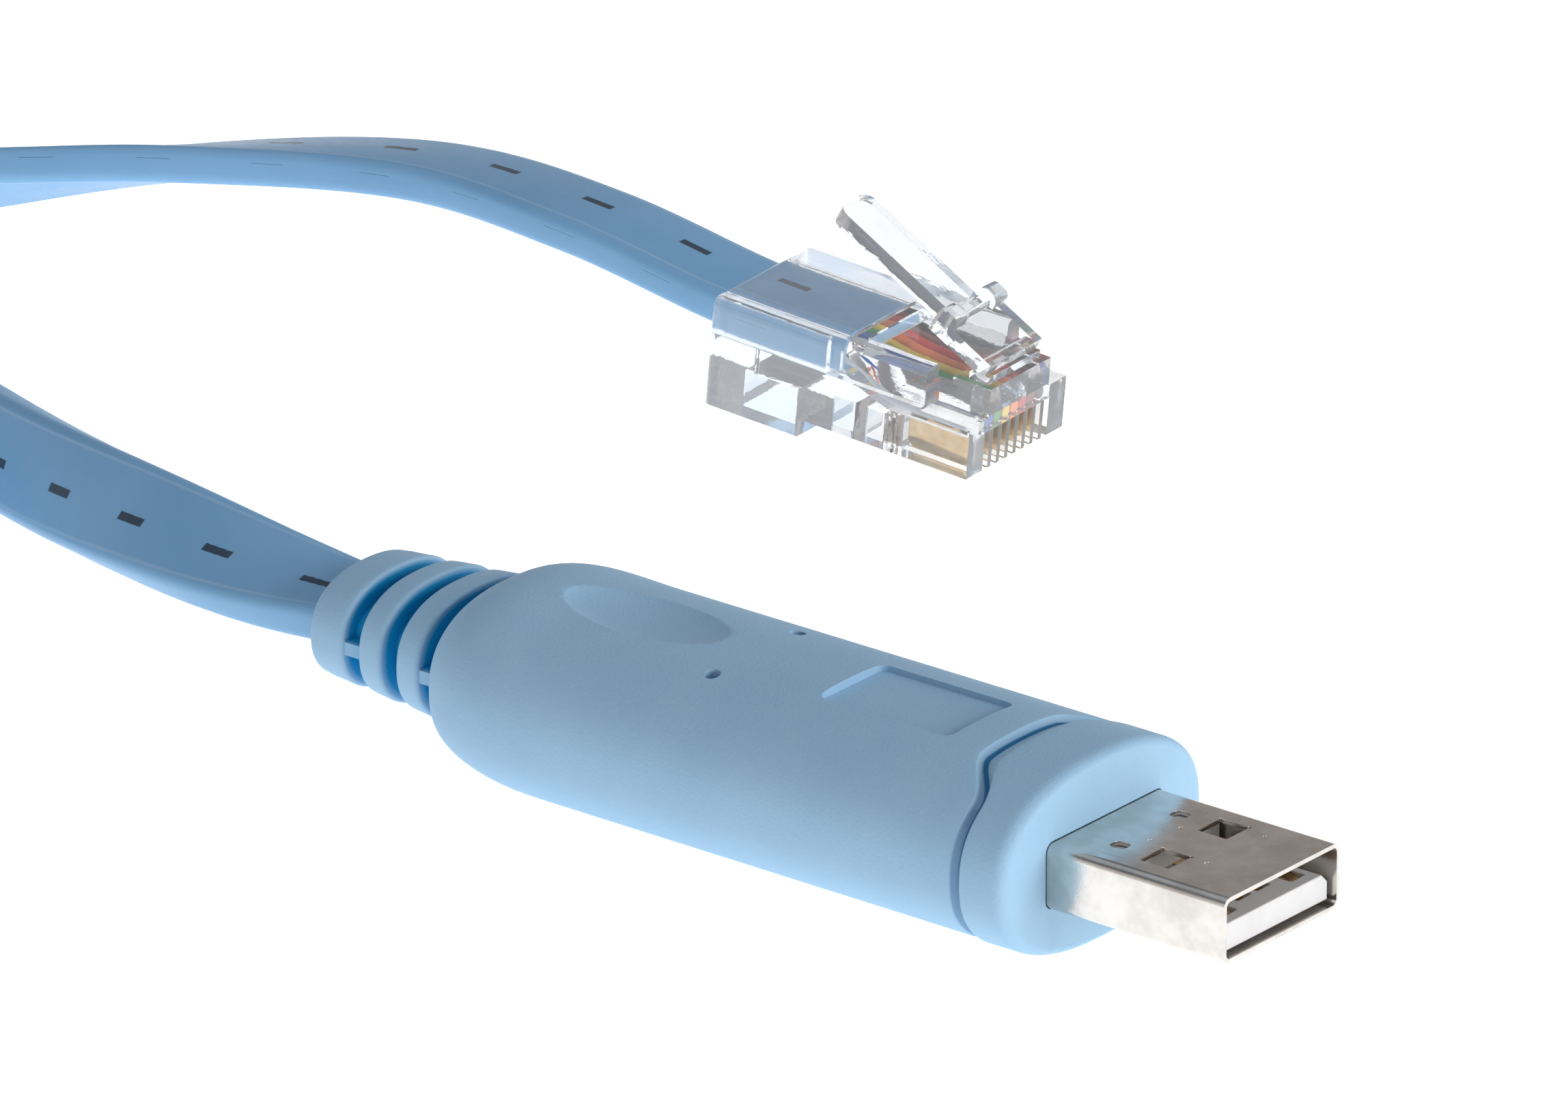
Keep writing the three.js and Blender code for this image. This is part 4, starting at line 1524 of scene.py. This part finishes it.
# %% White and clear plastic
material, tree, shader = new_finish("white_insulator_satin", Specular_IOR_Level=0.5)
mottle = effect(tree, soft_mottle, Scale=300)
two_colours(tree, shader, mottle.outputs["Mask"], srgb(202, 201, 201), srgb(209, 208, 208))
grain = effect(tree, fine_grain, Scale=6000)
rough_between(tree, shader, grain.outputs["Mask"], 0.34, 0.44)
bumpy(tree, shader, grain.outputs["Height"], 0.004 * MM)
finishes["white_insulator"] = material

material, tree, shader = new_finish(
    "clear_polycarbonate", IOR=1.46, Transmission_Weight=0.92, Roughness=0.03,
)
mottle = effect(tree, soft_mottle, Scale=260)
two_colours(tree, shader, mottle.outputs["Mask"], srgb(236, 238, 239), srgb(244, 245, 245))
flow = effect(tree, soft_mottle, Scale=420)
bumpy(tree, shader, flow.outputs["Mask"], 0.01 * MM)
let_light_in(tree, shader)
finishes["clear_plastic"] = material
print(material.name)

# %% Metals
material, tree, shader = new_finish("plated_steel_bright", Metallic=1.0)
tarnish = effect(tree, soft_mottle, Scale=420)
two_colours(tree, shader, tarnish.outputs["Mask"], srgb(204, 199, 192), srgb(224, 220, 214))
scratch = effect(tree, scuffs, Scale=1400, Stretch=0.05)
grain = effect(tree, fine_grain, Scale=5200)
rough_between(tree, shader, scratch.outputs["Mask"], 0.2, 0.34)
bumpy(tree, shader, grain.outputs["Height"], 0.0016 * MM)
finishes["plated_steel"] = material

material, tree, shader = new_finish("gold_plate", Metallic=1.0)
tarnish = effect(tree, soft_mottle, Scale=900)
two_colours(tree, shader, tarnish.outputs["Mask"], srgb(212, 176, 124), srgb(232, 202, 154))
scratch = effect(tree, scuffs, Scale=2600, Stretch=0.1)
rough_between(tree, shader, scratch.outputs["Mask"], 0.2, 0.36)
finishes["gold_contact"] = material
print(material.name)

# %% The wires' insulation
WIRE_COLOURS = {
    "wire_grey": (196, 200, 206),
    "wire_blue": (40, 96, 178),
    "wire_green": (52, 148, 78),
    "wire_yellow": (236, 196, 62),
    "wire_orange": (238, 122, 42),
    "wire_red": (206, 44, 34),
    "wire_brown": (124, 52, 38),
    "wire_black": (52, 40, 40),
}
WIRE_SHADE = 0.86
for slot_name, colour in WIRE_COLOURS.items():
    material, tree, shader = new_finish(slot_name + "_insulation", Specular_IOR_Level=0.5)
    mottle = effect(tree, soft_mottle, Scale=700)
    darker = [WIRE_SHADE * value for value in colour]
    two_colours(tree, shader, mottle.outputs["Mask"], srgb(*darker), srgb(*colour))
    grain = effect(tree, fine_grain, Scale=6000)
    rough_between(tree, shader, grain.outputs["Mask"], 0.3, 0.42)
    finishes[slot_name] = material


# %% Put the finishes on
def put_on(piece, slot_name):
    """Gives a piece one finish."""
    piece.data.materials.clear()
    piece.data.materials.append(finishes[slot_name])


put_on(usb_overmould, "blue_moulding")
put_on(flat_cable, "cable_jacket")
put_on(usb_shell, "plated_steel")
put_on(usb_tongue, "white_insulator")
put_on(plug, "clear_plastic")
for k in range(4):
    put_on(bpy.data.objects[f"usb_contact_strip_{k + 1}"], "gold_contact")
for blade in blades:
    put_on(blade, "gold_contact")
for conductor, slot_name in zip(wires, WIRE_SLOTS):
    put_on(conductor, slot_name)
print(len(finishes), "finishes")

# %% [markdown]
# ## The floor and the light
# The photograph looks as if it were lit in a light tent: the floor and the sides are white, and what
# faces up is darker. A floor that glows a little stays pure white and still takes a faint shadow. The
# sky is bright along the horizon, dim halfway up and lighter overhead, and two wide lamps add soft
# shape. A tent of white cloth round the object would do the same and take far longer to render.

# %% Floor
FLOOR_SIZE = 12
FLOOR_GLOW = 0.8
bpy.ops.object.select_all(action="DESELECT")
bpy.ops.mesh.primitive_plane_add(size=FLOOR_SIZE, location=(0, 0, 0))
floor = bpy.context.object
floor.name = "floor"
material, tree, shader = new_finish("floor_white", Roughness=0.9, Specular_IOR_Level=0.0)
shader.inputs["Base Color"].default_value = (0.9, 0.9, 0.9, 1)
shader.inputs["Emission Color"].default_value = (1, 1, 1, 1)
shader.inputs["Emission Strength"].default_value = FLOOR_GLOW
floor.data.materials.append(material)
floor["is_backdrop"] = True
print("the floor is", FLOOR_SIZE, "m wide")

# %% Sky and lamps
world = bpy.data.worlds.new("light_tent")
bpy.context.scene.world = world
world.use_nodes = True
tree = world.node_tree
direction = tree.nodes.new("ShaderNodeTexCoord")
split = tree.nodes.new("ShaderNodeSeparateXYZ")
ramp = tree.nodes.new("ShaderNodeValToRGB")
sky = tree.nodes["Background"]
tree.links.new(direction.outputs["Generated"], split.inputs["Vector"])
tree.links.new(split.outputs["Z"], ramp.inputs["Fac"])
tree.links.new(ramp.outputs["Color"], sky.inputs["Color"])
SKY = (
    (0.0, (0.85, 0.85, 0.86)),
    (0.28, (0.42, 0.39, 0.38)),
    (0.42, (0.36, 0.335, 0.325)),
    (0.62, (0.05, 0.06, 0.08)),
    (0.8, (0.36, 0.39, 0.43)),
    (1.0, (0.84, 0.89, 0.95)),
)
ends = ramp.color_ramp.elements
ends.remove(ends[1])
for height, colour in SKY:
    stop = ends[0] if height == 0 else ends.new(height)
    stop.position = height
    stop.color = (*colour, 1)
sky.inputs["Strength"].default_value = 1.0


def lamp(name, place, target, size, power):
    """A wide square lamp that looks at a target."""
    bpy.ops.object.light_add(type="AREA", location=place)
    light = bpy.context.object
    light.name = name
    light.rotation_euler = (Vector(target) - Vector(place)).to_track_quat("-Z", "Y").to_euler()
    light.data.size = size
    light.data.energy = power
    return light


LAMP_TARGET = (0, 0.02, 0)
LAMP_SIZE = 0.7
lamp("front_lamp", (1.2, 0.25, 0.4), LAMP_TARGET, LAMP_SIZE, 11.0)
lamp("side_lamp", (-0.3, -1.0, 0.5), LAMP_TARGET, LAMP_SIZE, 0.6)
print("lit by the sky and two lamps")

bpy.context.scene.view_settings.view_transform = "Standard"

# %% [markdown]
# ## The cable, and the size of the dressed model
# The cable is one free cord. It leaves the moulding's tail, and the modular plug with its wires and
# blades is what it carries at its far end. The size of the whole dressed model is printed at the end.

# %% Print the size of the dressed model
low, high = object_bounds()
print("the dressed model is", [round(v / MM, 1) for v in high - low], "mm")
